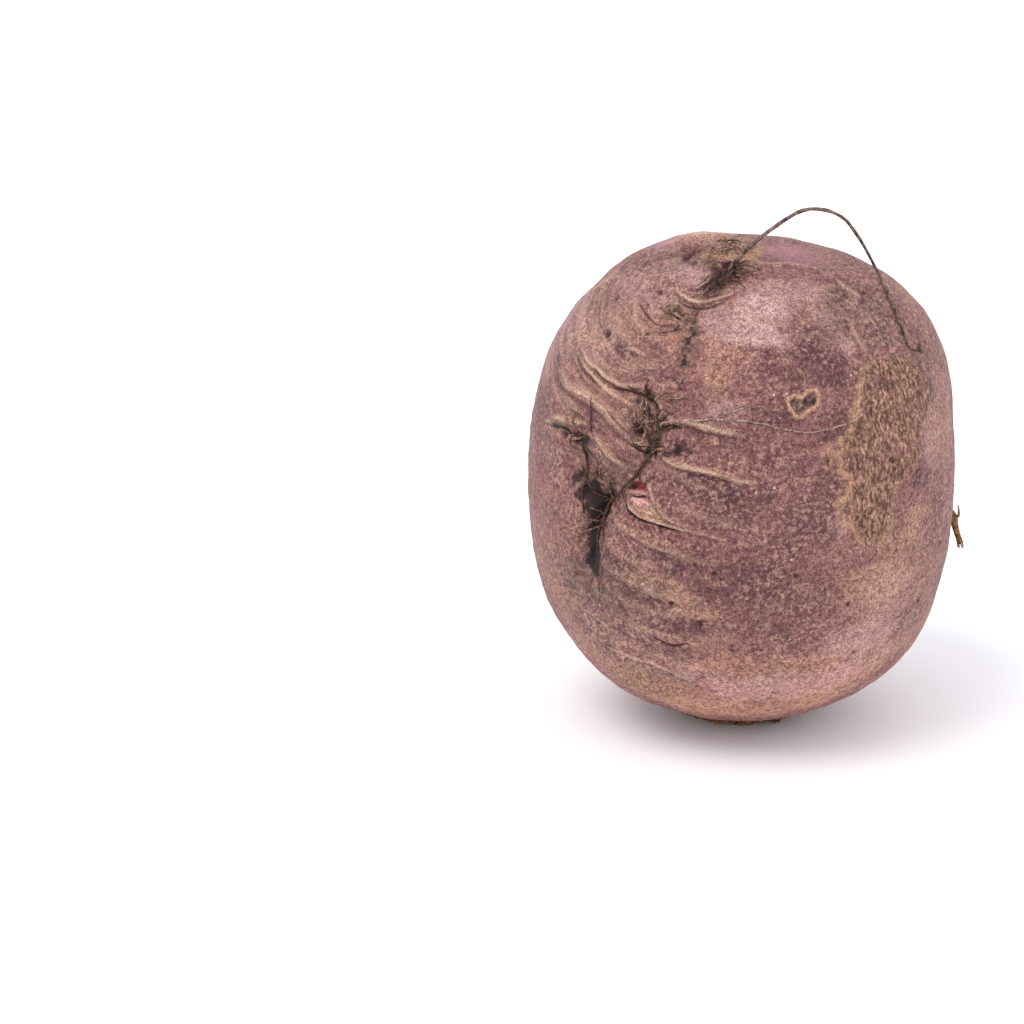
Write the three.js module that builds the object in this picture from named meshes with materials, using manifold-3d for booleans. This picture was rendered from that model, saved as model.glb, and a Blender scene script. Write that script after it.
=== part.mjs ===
// A whole beetroot, picked and trimmed, standing on its cut crown with the root tip up.
// Millimetres, +Z up. The origin is the middle of the small flat spot under the crown.
// A place on the skin is [azimuth, elevation] in degrees, seen from the middle of the root:
// azimuth 0 is the side at -Y, azimuth 90 the side at +X, and elevation 90 the root tip.
// A third number is how far the place stands above the skin, in mm.
import * as THREE from 'three';
import { mergeVertices } from 'three/addons/utils/BufferGeometryUtils.js';
import Module from 'manifold-3d';

const wasm = await Module();
wasm.setup();

// Driving dimensions of the swollen root
const HALF_WIDTH = 40.5;
const HALF_DEPTH = 39;
const HALF_HEIGHT = 46;
const SQUARENESS = 2.35;
const CROWN_LIFT = 1;
const CROWN_RADIUS = 9;
const CROWN_SIDES = 22;
const LEAF_STUBS = 11;
const HEART = new THREE.Vector3(0, 0, HALF_HEIGHT + CROWN_LIFT);

// How fine the skin is: the plain skin, and how near a furrow (mm) its triangles are halved
const SKIN_DETAIL = 11;
const HALVED_WITHIN = 3.6;
const MM_PER_DEGREE = 0.77;

// Broad swells and hollows: how far they spread (degrees) and how high they stand (mm)
const SWELLS = [
  { at: [82, 50], spread: 20, rise: 2.4 },
  { at: [85, -46], spread: 15, rise: 1.3 },
  { at: [-78, 46], spread: 20, rise: 0.8 },
  { at: [-75, 72], spread: 15, rise: 1.6 },
  { at: [-98, 63], spread: 6, rise: 0.8 },
  { at: [-120, 75], spread: 8, rise: 0.9 },
  { at: [90, 32], spread: 11, rise: 0.7 },
  { at: [40, 80], spread: 16, rise: -0.7 },
  { at: [-48, 8], spread: 11, rise: -1.6 },
  { at: [-32, 32], spread: 6, rise: 0.9 },
  { at: [-54, 25], spread: 5, rise: 0.7 },
  { at: [-60, 84], spread: 5, rise: 0.8 },
  { at: [128, 14], spread: 24, rise: 1.2 },
  { at: [-142, 24], spread: 22, rise: 1 },
  { at: [-128, -22], spread: 20, rise: -0.8 },
  { at: [178, -30], spread: 22, rise: 0.9 },
];

// Furrows of the two rows of roots, one down the front and one down the back, and of the folds beside them
const BACK_ROW = [[164, 66], [157, 52], [163, 38], [155, 24], [161, 10], [153, -4], [158, -18]];
const FURROWS = [
  { along: [[-28, 61], [-24, 54], [-24, 46], [-25, 38], [-29, 29]], wide: 2.4, deep: 1.1 },
  { along: [[-29, 27], [-33, 20], [-39, 12], [-45, 5], [-48, -6], [-49, -18]], wide: 3.8, deep: 2.6 },
  { along: [[-55, 20], [-51, 13], [-47, 4]], wide: 3.6, deep: 1.4 },
  { along: [[-66, 38], [-54, 35], [-43, 31]], wide: 1.6, deep: 0.8 },
  { along: [[-60, 48], [-50, 43], [-40, 42]], wide: 1.7, deep: 0.7 },
  { along: [[-36, 7], [-28, 4], [-18, 1], [-8, 0]], wide: 2.2, deep: 0.7 },
  { along: [[-24, 28], [-16, 26], [-6, 25]], wide: 2, deep: 0.5 },
  { along: [[-66, 73], [-74, 79], [-108, 82], [-165, 82]], wide: 1.5, deep: 1.3 },
  { along: BACK_ROW, wide: 3.2, deep: 1.9 },
];

// Pale welts that stand on the skin, tapering to nothing at both ends
const WELTS = [
  { along: [[-70, 43], [-60, 40.5], [-50, 38.5], [-41, 38], [-34, 39]], wide: 1.6, high: 0.9 },
  { along: [[-69, 41], [-60, 39], [-51, 36.5], [-41, 34], [-32, 34]], wide: 1.5, high: 0.8 },
  { along: [[-73, 35], [-63, 33], [-51, 32], [-42, 29], [-32, 23]], wide: 2.6, high: 1 },
  { along: [[-70, 23], [-61, 24.5], [-50, 24.5]], wide: 1.8, high: 0.8 },
  { along: [[-76, 62], [-85, 56], [-92, 50]], wide: 1.6, high: 0.5 },
  { along: [[-50, 46], [-43, 47], [-34, 46]], wide: 1.4, high: 0.6 },
  { along: [[-35, 38], [-29, 36.5], [-26, 33], [-28, 29]], wide: 1.2, high: 0.8 },
  { along: [[-28, 31], [-20, 32.5], [-12, 31], [-3, 30]], wide: 1.8, high: 0.9 },
  { along: [[-29, 24.5], [-22, 22], [-12, 20.5], [0, 18]], wide: 2, high: 0.9 },
  { along: [[-33, 18], [-28, 14], [-24, 9], [-16, 5.5]], wide: 1.7, high: 0.8 },
  { along: [[-40, 13], [-33, 8], [-22, 6.5], [-8, 3]], wide: 2.2, high: 1 },
  { along: [[-45, 6], [-37, 2.5], [-28, -1]], wide: 1.7, high: 0.7 },
  { along: [[-45, -9], [-34, -12], [-22, -15], [-12, -17]], wide: 2, high: 0.6 },
  { along: [[-46, -35], [-30, -37], [-17, -42]], wide: 1.4, high: 0.5 },
  { along: [[-46, 64], [-34, 62.5], [-23, 62.5], [-11, 66]], wide: 1.4, high: 0.9 },
  { along: [[22, 80], [48, 76], [57, 69], [56, 60]], wide: 1.8, high: 0.5 },
  { along: [[48, 45], [34, 39], [26, 29], [22, 23], [25, 16], [24, 8], [34, 0]], wide: 1.8, high: 0.5 },
  { along: [[9.8, 37.5], [12, 39.4], [15, 38.6], [18, 40.2], [20.6, 38.6], [19.6, 36], [16, 35.2], [14, 33.6],
    [11.5, 34.8], [9.7, 37.9]], wide: 1.1, high: 0.6, every: 1.3 },
];

// Sharp cracks and the open wound, cut into the skin
const CRACKS = [
  { along: [[-53, 37], [-43, 36], [-33, 37]], wide: 0.9, deep: 0.7 },
  { along: [[-26, 29.5], [-22, 30.5], [-16, 30]], wide: 0.9, deep: 0.7 },
  { along: [[-38, 11.5], [-32, 12.5], [-27, 11]], wide: 3.2, deep: 1.3 },
  { along: [[-30, -28], [-23, -30.5], [-17, -29.5]], wide: 0.9, deep: 0.5 },
];

// Holes where side roots broke away
const PITS = [
  { at: [-35, 29], radius: 1.3 },
  { at: [-54, 22.5], radius: 1.4 },
  { at: [-60, 22], radius: 0.9 },
  { at: [66, 41], radius: 1 },
  { at: [-66, 75], radius: 0.9 },
  { at: [-19, 72], radius: 1 },
];

// Roots that lie on the skin: fibres of the tip, strands in the seam, threads and short rootlets
const ROOTS = [
  { along: [[-14, 77, -0.9], [-12, 73, 0.9], [-18, 68, 1.6], [-25, 63.5, 0.7]], thick: 1.7, tip: 0.8 },
  { along: [[-10, 76, -0.9], [-9, 71, 0.8], [-14, 67, 1.4], [-19, 64, 1.3]], thick: 1.3, tip: 0.7 },
  { along: [[-20, 76, -0.9], [-19, 72, 0.9], [-24, 67, 1], [-29, 64, 0.2]], thick: 1.3, tip: 0.7 },
  { along: [[-14, 76, -0.9], [-2, 74, 0.6], [8, 74, 0.7]], thick: 1, tip: 0.6 },
  { along: [[-12, 74, -0.9], [0, 71.5, 0.5], [8, 71, 0.4]], thick: 0.9, tip: 0.6 },
  { along: [[-26, 34, -0.8], [-28, 29, 0.5], [-32, 21.5, 0.5], [-38, 13.5, 0.4], [-46, 7, 0.9],
    [-48, 1, 0.5], [-48, -8, 0.1]], thick: 1.3, tip: 0.8 },
  { along: [[-30, 24, -0.7], [-30, 19, 0.4], [-32, 14, -0.2]], thick: 0.9, tip: 0.6 },
  { along: [[-49, 23, -0.8], [-48, 27, 0.5], [-47, 31.5, 0.3]], thick: 1, tip: 0.6 },
  { along: [[-56, 23, -0.8], [-54, 16, 0.5], [-52, 9, 0.4], [-52, 4, -0.2]], thick: 1, tip: 0.6 },
  { along: [[-33, 37, -0.8], [-32, 41, 0.4], [-31, 44, 0.3]], thick: 1, tip: 0.6 },
  { along: [[-40, 33, -0.4], [-36, 36, 0.5], [-31, 34.5, 0.5], [-30, 31, -0.3]], thick: 1, tip: 0.7 },
  { along: [[-37, 27, -0.4], [-33, 24.5, 0.4], [-27, 26, 0.4], [-25, 30, -0.5]], thick: 1, tip: 0.7 },
];

// The long wiry root that arches over the top, and the broken side root at the right: mm, through these places
const LONG_ROOT = {
  through: [[-4.2, -10.8, 90.5], [-2, -10.6, 93.6], [1, -9.4, 96.3], [5.5, -7.8, 99.4], [9.5, -6.6, 101.5],
    [12.4, -6.2, 101.9], [15.4, -6.1, 101.3], [18, -6, 99.8], [20, -6, 97.2], [21.8, -6.2, 94.4]],
  landing: [[76, 59, 0.9], [70, 55.5, 0.4], [65, 51.5, 0.4], [61.5, 47, 0.4], [62.5, 43, -0.5]],
  thick: 1.15,
  tip: 0.8,
};
const SIDE_ROOT = {
  through: [[37.4, -2, 43.6], [40, -2.4, 40.8], [40.7, -2.8, 38.6], [41.3, -3.4, 36.8], [41.9, -3.9, 35.2]],
  thick: 1.8,
  tip: 1.3,
};

// The rule for the back row: wrinkles and rootlets to the left and right of the seam, seeded
const BACK_SEED = 23;
const BACK_WRINKLES = 9;
const BACK_ROOTLETS = 7;

function seededRandom(seed) {
  let state = seed;
  return () => {
    state = (state * 1664525 + 1013904223) % 4294967296;
    return state / 4294967296;
  };
}

function direction(azimuth, elevation) {
  const a = THREE.MathUtils.degToRad(azimuth);
  const e = THREE.MathUtils.degToRad(elevation);
  return new THREE.Vector3(Math.sin(a) * Math.cos(e), -Math.cos(a) * Math.cos(e), Math.sin(e));
}

function plainRadius(d) {
  const level = Math.hypot(d.x / HALF_WIDTH, d.y / HALF_DEPTH);
  const up = Math.abs(d.z) / HALF_HEIGHT;
  return (level ** SQUARENESS + up ** SQUARENESS) ** (-1 / SQUARENESS);
}

// A furrow is kept as a row of directions; its depth fades towards both ends
function furrowRow({ along, wide, deep }) {
  const curve = new THREE.CatmullRomCurve3(along.map(([azimuth, elevation]) => direction(azimuth, elevation)));
  const count = along.length * 8;
  const row = [];
  for (let i = 0; i <= count; i++) {
    row.push({ d: curve.getPoint(i / count).normalize(), fade: Math.sin((Math.PI * (i + 1)) / (count + 2)) ** 0.5 });
  }
  return { row, wide, deep };
}

const furrowRows = FURROWS.map(furrowRow);

function nearestInRow(d, row) {
  let best = row[0];
  let closeness = -1;
  for (const place of row) {
    const c = d.dot(place.d);
    if (c > closeness) {
      closeness = c;
      best = place;
    }
  }
  const apart = THREE.MathUtils.radToDeg(Math.acos(Math.min(1, closeness))) * MM_PER_DEGREE;
  return { apart, fade: best.fade };
}

function skinRadius(d) {
  let r = plainRadius(d);
  for (const { at, spread, rise } of SWELLS) {
    const apart = THREE.MathUtils.radToDeg(d.angleTo(direction(...at)));
    r += rise * Math.exp(-((apart / spread) ** 2));
  }
  for (const { row, wide, deep } of furrowRows) {
    const { apart, fade } = nearestInRow(d, row);
    r -= deep * fade * Math.exp(-((apart / wide) ** 2));
  }
  return r;
}

function onSkin(d, lift = 0) {
  return d.clone().multiplyScalar(skinRadius(d) + lift).add(HEART);
}

function solid(points, faces) {
  const vertProperties = new Float32Array(points.flatMap((p) => [p.x, p.y, p.z]));
  const mesh = new wasm.Mesh({ numProp: 3, vertProperties, triVerts: new Uint32Array(faces.flat()) });
  return new wasm.Manifold(mesh);
}

// Splits every triangle edge whose middle is wanted; both triangles at an edge agree, so no gap opens
function halveEdges(points, faces, wanted) {
  const before = points.length;
  const middles = new Map();
  const middle = (a, b) => {
    const key = a < b ? `${a} ${b}` : `${b} ${a}`;
    if (!middles.has(key)) {
      const m = points[a].clone().add(points[b]).normalize();
      middles.set(key, wanted(m) ? points.push(m) - 1 : -1);
    }
    return middles.get(key);
  };
  const out = [];
  for (const [a, b, c] of faces) {
    const ring = [a, middle(a, b), b, middle(b, c), c, middle(c, a)].filter((i) => i >= 0);
    if (ring.length === 6) {
      const [p, pq, q, qr, r, rp] = ring;
      out.push([p, pq, rp], [pq, q, qr], [rp, qr, r], [pq, qr, rp]);
    } else {
      const start = Math.max(0, ring.findIndex((i) => i >= before));
      const turned = [...ring.slice(start), ...ring.slice(0, start)];
      for (let k = 1; k + 1 < turned.length; k++) out.push([turned[0], turned[k], turned[k + 1]]);
    }
  }
  return out;
}

function swollenRoot() {
  const g = new THREE.IcosahedronGeometry(1, SKIN_DETAIL);
  g.deleteAttribute('normal');
  g.deleteAttribute('uv');
  const ball = mergeVertices(g, 1e-5);
  const p = ball.attributes.position;
  const points = [];
  for (let i = 0; i < p.count; i++) points.push(new THREE.Vector3().fromBufferAttribute(p, i).normalize());
  let faces = [];
  for (let i = 0; i < ball.index.count; i += 3) {
    faces.push([ball.index.getX(i), ball.index.getX(i + 1), ball.index.getX(i + 2)]);
  }
  const nearFurrow = (d) => furrowRows.some(({ row }) => nearestInRow(d, row).apart < HALVED_WITHIN);
  faces = halveEdges(points, faces, nearFurrow);
  return solid(points.map((d) => onSkin(d)), faces);
}

// Stations on the skin for a tube: where it is and which way its height points
function laneOnSkin(along, count) {
  const curve = new THREE.CatmullRomCurve3(along.map(([azimuth, elevation]) => direction(azimuth, elevation)));
  const lane = [];
  for (let i = 0; i < count; i++) {
    const step = (i / (count - 1)) * (along.length - 1);
    const k = Math.min(Math.floor(step), along.length - 2);
    const lift = THREE.MathUtils.lerp(along[k][2] ?? 0, along[k + 1][2] ?? 0, step - k);
    const up = curve.getPoint(i / (count - 1)).normalize();
    lane.push({ at: onSkin(up, lift), up });
  }
  return lane;
}

function laneThrough(places, up, count) {
  const curve = new THREE.CatmullRomCurve3(places);
  const lane = [];
  for (let i = 0; i < count; i++) lane.push({ at: curve.getPoint(i / (count - 1)), up });
  return lane;
}

// A closed tube along a lane. Its section is a list of [across, up] points, turning from up to across;
// halfWide and halfHigh give the half sizes that the section is stretched to, from the start (0) to the end (1)
function tube(lane, section, halfWide, halfHigh) {
  const last = lane.length - 1;
  const sides = section.length;
  const points = [];
  const faces = [];
  lane.forEach(({ at, up }, i) => {
    const ahead = lane[Math.min(i + 1, last)].at.clone().sub(lane[Math.max(i - 1, 0)].at).normalize();
    const across = ahead.clone().cross(up).normalize();
    const over = across.clone().cross(ahead);
    for (const [side, rise] of section) {
      const p = at.clone();
      p.addScaledVector(across, side * halfWide(i / last));
      p.addScaledVector(over, rise * halfHigh(i / last));
      points.push(p);
    }
  });
  for (let i = 0; i < last; i++) {
    for (let k = 0; k < sides; k++) {
      const a = i * sides + k;
      const b = i * sides + ((k + 1) % sides);
      faces.push([a, b, b + sides], [a, b + sides, a + sides]);
    }
  }
  for (let k = 1; k + 1 < sides; k++) {
    faces.push([0, k + 1, k]);
    faces.push([last * sides, last * sides + k, last * sides + k + 1]);
  }
  return solid(points, faces);
}

function roundSection(sides) {
  const turns = Array.from({ length: sides }, (_, k) => (2 * Math.PI * k) / sides);
  return turns.map((turn) => [Math.sin(turn), Math.cos(turn)]);
}

const WELT_SECTION = [[-0.3, 1], [0.35, 0.85], [1.15, -0.6], [-1.15, -0.6]];

function laneLength(along) {
  let mm = 0;
  for (let i = 1; i < along.length; i++) {
    mm += THREE.MathUtils.radToDeg(direction(...along[i]).angleTo(direction(...along[i - 1]))) * MM_PER_DEGREE;
  }
  return mm;
}

function stations(mm, every) {
  return Math.max(4, Math.round(mm / every) + 1);
}

// A welt's ends taper and dive under the skin
function welt({ along, wide, high, every = 3.2 }) {
  const lane = laneOnSkin(along, stations(laneLength(along), every));
  const last = lane.length - 1;
  const swell = (t) => 0.35 + 0.65 * Math.sin(Math.PI * Math.min(1, Math.max(0, t))) ** 0.6;
  lane.forEach((s, i) => s.at.addScaledVector(s.up, high * (swell(i / last) - 1)));
  return tube(lane, WELT_SECTION, (t) => (wide / 2) * swell(t), () => high);
}

function crack({ along, wide, deep }) {
  const lane = laneOnSkin(along, stations(laneLength(along), 2.4));
  const swell = (t) => 0.2 + 0.8 * Math.sin(Math.PI * t);
  return tube(lane, roundSection(4), (t) => (wide / 2) * swell(t), (t) => deep * swell(t));
}

function pit({ at, radius }) {
  const ball = mergeVertices(new THREE.OctahedronGeometry(radius, 1).deleteAttribute('normal').deleteAttribute('uv'), 1e-4);
  const place = onSkin(direction(...at));
  ball.translate(place.x, place.y, place.z);
  return fromGeometry(ball);
}

function fromGeometry(g) {
  const p = g.attributes.position;
  const points = [];
  for (let i = 0; i < p.count; i++) points.push(new THREE.Vector3().fromBufferAttribute(p, i));
  const faces = [];
  for (let i = 0; i < g.index.count; i += 3) faces.push([g.index.getX(i), g.index.getX(i + 1), g.index.getX(i + 2)]);
  return solid(points, faces);
}

function root(lane, thick, tip, sides) {
  const half = (t) => THREE.MathUtils.lerp(thick, tip, t) / 2;
  return tube(lane, roundSection(sides), half, half);
}

function skinRoot({ along, thick, tip }) {
  return root(laneOnSkin(along, stations(laneLength(along), 2.8)), thick, tip, 4);
}

function longRoot() {
  const landing = LONG_ROOT.landing.map(([azimuth, elevation, lift]) => onSkin(direction(azimuth, elevation), lift));
  const free = LONG_ROOT.through.map((p) => new THREE.Vector3(...p));
  const lane = laneThrough([...free, ...landing], new THREE.Vector3(0, -1, 0.2).normalize(), 34);
  return root(lane, LONG_ROOT.thick, LONG_ROOT.tip, 6);
}

function sideRoot() {
  const places = SIDE_ROOT.through.map((p) => new THREE.Vector3(...p));
  return root(laneThrough(places, new THREE.Vector3(0, -1, 0), 6), SIDE_ROOT.thick, SIDE_ROOT.tip, 6);
}

// The trimmed crown: a short uneven stub with the cut leaf bases around it
function crown() {
  const random = seededRandom(7);
  const points = [];
  const faces = [];
  for (let i = 0; i < CROWN_SIDES; i++) {
    const turn = (2 * Math.PI * i) / CROWN_SIDES;
    const r = CROWN_RADIUS + 1.4 * (random() - 0.5);
    points.push(new THREE.Vector3(Math.cos(turn) * r, Math.sin(turn) * r, -1));
    points.push(new THREE.Vector3(Math.cos(turn) * (r + 1.2), Math.sin(turn) * (r + 1.2), 5));
  }
  const low = points.push(new THREE.Vector3(0, 0, -1)) - 1;
  const top = points.push(new THREE.Vector3(0, 0, 5)) - 1;
  for (let i = 0; i < CROWN_SIDES; i++) {
    const a = 2 * i;
    const b = 2 * ((i + 1) % CROWN_SIDES);
    faces.push([a, b, b + 1], [a, b + 1, a + 1], [low, b, a], [top, a + 1, b + 1]);
  }
  return solid(points, faces);
}

function leafStubs() {
  const random = seededRandom(11);
  const stubs = [];
  for (let i = 0; i < LEAF_STUBS; i++) {
    const azimuth = (360 * (i + 0.5 * random())) / LEAF_STUBS;
    const along = [[azimuth, -80, 0], [azimuth + 2, -76, 0.3], [azimuth, -71 + 3 * random(), -0.6]];
    const lane = laneOnSkin(along, 4);
    const wide = 1.6 + 1.2 * random();
    stubs.push(tube(lane, roundSection(5), () => wide, () => 0.9));
  }
  return stubs;
}

// Wrinkles run out to both sides of the back seam, and rootlets hang from it
function backRow() {
  const random = seededRandom(BACK_SEED);
  const seam = new THREE.CatmullRomCurve3(BACK_ROW.map(([azimuth, elevation]) => new THREE.Vector3(azimuth, elevation)));
  const pieces = [];
  for (let i = 0; i < BACK_WRINKLES; i++) {
    const side = i % 2 === 0 ? 1 : -1;
    const start = seam.getPoint((i + 0.6) / (BACK_WRINKLES + 0.5));
    const reach = 12 + 12 * random();
    const drop = 2 + 5 * random();
    const along = [
      [start.x + side * 3, start.y],
      [start.x + side * (3 + reach / 2), start.y + 1.5],
      [start.x + side * (3 + reach), start.y - drop],
    ];
    pieces.push(welt({ along, wide: 1.5 + 0.8 * random(), high: 0.6 + 0.3 * random() }));
  }
  for (let i = 0; i < BACK_ROOTLETS; i++) {
    const side = i % 2 === 0 ? -1 : 1;
    const start = seam.getPoint((i + 0.3 + 0.4 * random()) / BACK_ROOTLETS);
    const reach = 3 + 4 * random();
    const along = [
      [start.x, start.y, -0.8],
      [start.x + (side * reach) / 2, start.y - 4, 0.5],
      [start.x + side * reach, start.y - 7 - 3 * random(), 0.2],
    ];
    pieces.push(skinRoot({ along, thick: 1, tip: 0.6 }));
  }
  return pieces;
}

function belowTheFloor() {
  const box = new THREE.BoxGeometry(60, 60, 20).deleteAttribute('normal').deleteAttribute('uv');
  box.translate(0, 0, -10);
  return fromGeometry(mergeVertices(box, 1e-4));
}

function wholeBeetroot() {
  const { Manifold } = wasm;
  const skin = Manifold.union([swollenRoot(), crown(), ...leafStubs(), ...WELTS.map(welt)]);
  const broken = skin.subtract(Manifold.union([...CRACKS.map(crack), ...PITS.map(pit)]));
  const rooted = Manifold.union([broken, ...ROOTS.map(skinRoot), ...backRow(), longRoot(), sideRoot()]);
  return rooted.subtract(belowTheFloor());
}

function toGeometry(m) {
  const { vertProperties, triVerts } = m.getMesh();
  const g = new THREE.BufferGeometry();
  g.setAttribute('position', new THREE.BufferAttribute(vertProperties, 3));
  g.setIndex(new THREE.BufferAttribute(triVerts, 1));
  return g;
}

const beetroot = new THREE.Mesh(
  toGeometry(wholeBeetroot()),
  new THREE.MeshStandardMaterial({ color: 0x8a6468, roughness: 0.7, metalness: 0 }),
);
beetroot.name = 'beetroot';
const part = new THREE.Group();
part.add(beetroot);
export default part;
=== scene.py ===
import math

import bpy
import numpy as np
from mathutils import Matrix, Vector
from mathutils.bvhtree import BVHTree


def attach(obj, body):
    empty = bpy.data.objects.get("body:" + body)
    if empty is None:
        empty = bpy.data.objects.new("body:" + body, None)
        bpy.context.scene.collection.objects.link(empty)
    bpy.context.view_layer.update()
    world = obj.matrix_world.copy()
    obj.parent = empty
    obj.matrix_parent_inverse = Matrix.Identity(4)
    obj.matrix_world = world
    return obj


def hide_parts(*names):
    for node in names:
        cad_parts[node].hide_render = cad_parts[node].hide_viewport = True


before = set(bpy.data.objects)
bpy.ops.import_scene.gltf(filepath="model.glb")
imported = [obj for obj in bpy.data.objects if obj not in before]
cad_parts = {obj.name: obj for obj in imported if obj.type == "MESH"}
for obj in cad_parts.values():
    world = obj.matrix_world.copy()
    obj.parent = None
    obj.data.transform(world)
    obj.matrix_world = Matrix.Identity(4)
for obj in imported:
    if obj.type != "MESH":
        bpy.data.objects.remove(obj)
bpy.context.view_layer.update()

MM = 0.001

# The swollen root and its back seam, as in the part's source
HALF_WIDTH, HALF_DEPTH, HALF_HEIGHT = 40.5, 39.0, 46.0
SQUARENESS = 2.35
HEART = np.array([0.0, 0.0, 47.0])
MM_PER_DEGREE = 0.77
BACK_ROW = [(164, 66), (157, 52), (163, 38), (155, 24), (161, 10), (153, -4), (158, -18)]

# The crown's stub and the torn skirt round it, and the middle of the folds on the left lobe
CROWN_RADIUS, SKIRT_RADIUS = 9.4, 12.2
FOLD_CENTRE = np.array([-9.7, -13.8, 88.0])
# The skin's unevenness, from broad to fine: rise in mm, size in mm, seed, octaves
UNEVENNESS = [(0.28, 16, 1, 3), (0.12, 5, 2, 3), (0.065, 1.6, 3, 2)]

# Broad swells and hollows: place, spread in degrees, rise in mm
SWELLS = [
    ((82, 50), 20, 2.4), ((85, -46), 15, 1.3), ((-78, 46), 20, 0.8), ((-75, 72), 15, 1.6),
    ((-98, 63), 6, 0.8), ((-120, 75), 8, 0.9), ((90, 32), 11, 0.7), ((40, 80), 16, -0.7),
    ((-48, 8), 11, -1.6), ((-32, 32), 6, 0.9), ((-54, 25), 5, 0.7), ((-60, 84), 5, 0.8),
    ((128, 14), 24, 1.2), ((-142, 24), 22, 1), ((-128, -22), 20, -0.8), ((178, -30), 22, 0.9),
]
# Furrows: course, width, depth
FURROWS = [
    ([(-28, 61), (-24, 54), (-24, 46), (-25, 38), (-29, 29)], 2.4, 1.1),
    ([(-29, 27), (-33, 20), (-39, 12), (-45, 5), (-48, -6), (-49, -18)], 3.8, 2.6),
    ([(-55, 20), (-51, 13), (-47, 4)], 3.6, 1.4),
    ([(-66, 38), (-54, 35), (-43, 31)], 1.6, 0.8),
    ([(-60, 48), (-50, 43), (-40, 42)], 1.7, 0.7),
    ([(-36, 7), (-28, 4), (-18, 1), (-8, 0)], 2.2, 0.7),
    ([(-24, 28), (-16, 26), (-6, 25)], 2, 0.5),
    ([(-66, 73), (-74, 79), (-108, 82), (-165, 82)], 1.5, 1.3),
    (BACK_ROW, 3.2, 1.9),
]
# Welts: course, width, height, depth of the dark crack on its right (which also sets the painted shade
# there), paleness
WELTS = [
    ([(-70, 43), (-60, 40.5), (-50, 38.5), (-41, 38), (-34, 39)], 1, 0.6, 0.6, 0.85),
    ([(-69, 41), (-60, 39), (-51, 36.5), (-41, 34.5), (-33, 33)], 0.9, 0.55, 0.35, 0.85),
    ([(-73, 35), (-63, 33), (-51, 32), (-42, 29), (-34, 24.5)], 2.3, 0.75, 0.35, 0.65),
    ([(-70, 23), (-61, 24.8), (-50, 26)], 1.3, 0.7, 0.7, 0.85),
    ([(-76, 62), (-85, 56), (-92, 50)], 1.4, 0.4, 0, 0.4),
    ([(-48, 46), (-43, 46.8), (-37, 46)], 0.5, 0.4, 0.25, 0.85),
    ([(-33.5, 37), (-30, 36.5), (-28, 35), (-27.5, 33), (-28, 31)], 0.7, 0.6, 0.3, 0.7),
    ([(-27, 31.5), (-20, 32.5), (-12, 31), (-3, 30)], 1.2, 0.55, 0.5, 0.75),
    ([(-28, 24.5), (-22, 22), (-12, 20.5), (0, 18)], 1.35, 0.75, 0.4, 0.9),
    ([(-30, 16.5), (-28, 13.5), (-26, 10), (-23, 7), (-15, 5)], 0.9, 0.6, 0.25, 0.75),
    ([(-38, 11), (-36, 8.6), (-33, 6.8), (-28, 5.8), (-22, 5), (-8, 2.4)], 1, 0.75, 0.5, 0.95),
    ([(-45, 5), (-37, 2.5), (-28, -1), (-22, -2)], 1.6, 0.5, 0.2, 0.4),
    ([(-45, -9), (-34, -12), (-22, -15), (-12, -17)], 2.6, 0.45, 0.1, 0.3),
    ([(-46, -35), (-30, -37), (-17, -42)], 0.7, 0.35, 0.15, 0.7),
    ([(-52, -25), (-46, -27), (-40, -30)], 0.6, 0.25, 0.1, 0.5),
    ([(-46, 66), (-38, 63.4), (-30, 62.2), (-22, 62.3), (-14, 64.6), (-8, 67.4)], 0.7, 0.6, 0.5, 1),
    ([(-92, 71), (-102, 75.5), (-114, 78.6), (-140, 80), (-170, 79)], 3.4, 0.5, 0, 0.62),
    ([(0, 80), (22, 78.5), (46, 75), (54, 71), (55, 66)], 0.9, 0.35, 0, 0.45),
    ([(55, 66), (54, 62), (55.5, 58)], 0.7, 0.3, 0.2, 0.5),
    ([(-73, 21.5), (-64, 22.6), (-57, 22)], 0.9, 0.4, 0.4, 0.6),
    ([(-48, 25), (-46, 23), (-43, 21), (-38, 18.5)], 1.5, 0.5, 0.3, 0.6),
    ([(-34, 26.5), (-35, 25.5), (-33, 24.8), (-31.5, 25.5)], 0.6, 0.6, 0.3, 0.9),
    ([(43, 57), (41, 52), (41, 47), (43, 44)], 1.2, 0.35, 0.2, 0.35),
    ([(-74, 51), (-72, 46), (-66, 41)], 1.2, 0.35, 0.1, 0.5),
    ([(-37, 62), (-34, 58), (-32, 55)], 0.8, 0.25, 0.1, 0.5),
    ([(-61, 63), (-56, 58), (-47, 53), (-40, 51)], 1.1, 0.22, 0, 0.35),
]
# Faint arcs between the welts of the left lobe and below them: course, width, height
FAINT_ARCS = [
    ([(-64, 55), (-55, 52), (-47, 51)], 1.5, 0.25), ([(-62, 51), (-53, 49), (-45, 48)], 1.3, 0.25),
    ([(-70, 50), (-62, 46), (-54, 43)], 1.6, 0.3), ([(-52, 56), (-44, 52), (-38, 49)], 1.2, 0.3),
    ([(-75, 41), (-68, 37), (-60, 36)], 1.6, 0.3), ([(-72, 31), (-62, 29), (-53, 28)], 1.8, 0.3),
    ([(-30, 0), (-20, -3), (-8, -5)], 1.6, 0.25), ([(-44, -3), (-34, -6), (-24, -7)], 1.5, 0.3),
    ([(-44, -15), (-32, -19), (-20, -21)], 1.8, 0.25), ([(-42, -22), (-30, -26), (-18, -27)], 1.5, 0.2),
    ([(-46, -30), (-32, -33), (-20, -35)], 1.4, 0.2), ([(-27, 22), (-18, 18), (-8, 16)], 1.3, 0.2),
    ([(-24, 13), (-14, 9), (-2, 7)], 1.5, 0.2),
]
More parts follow.
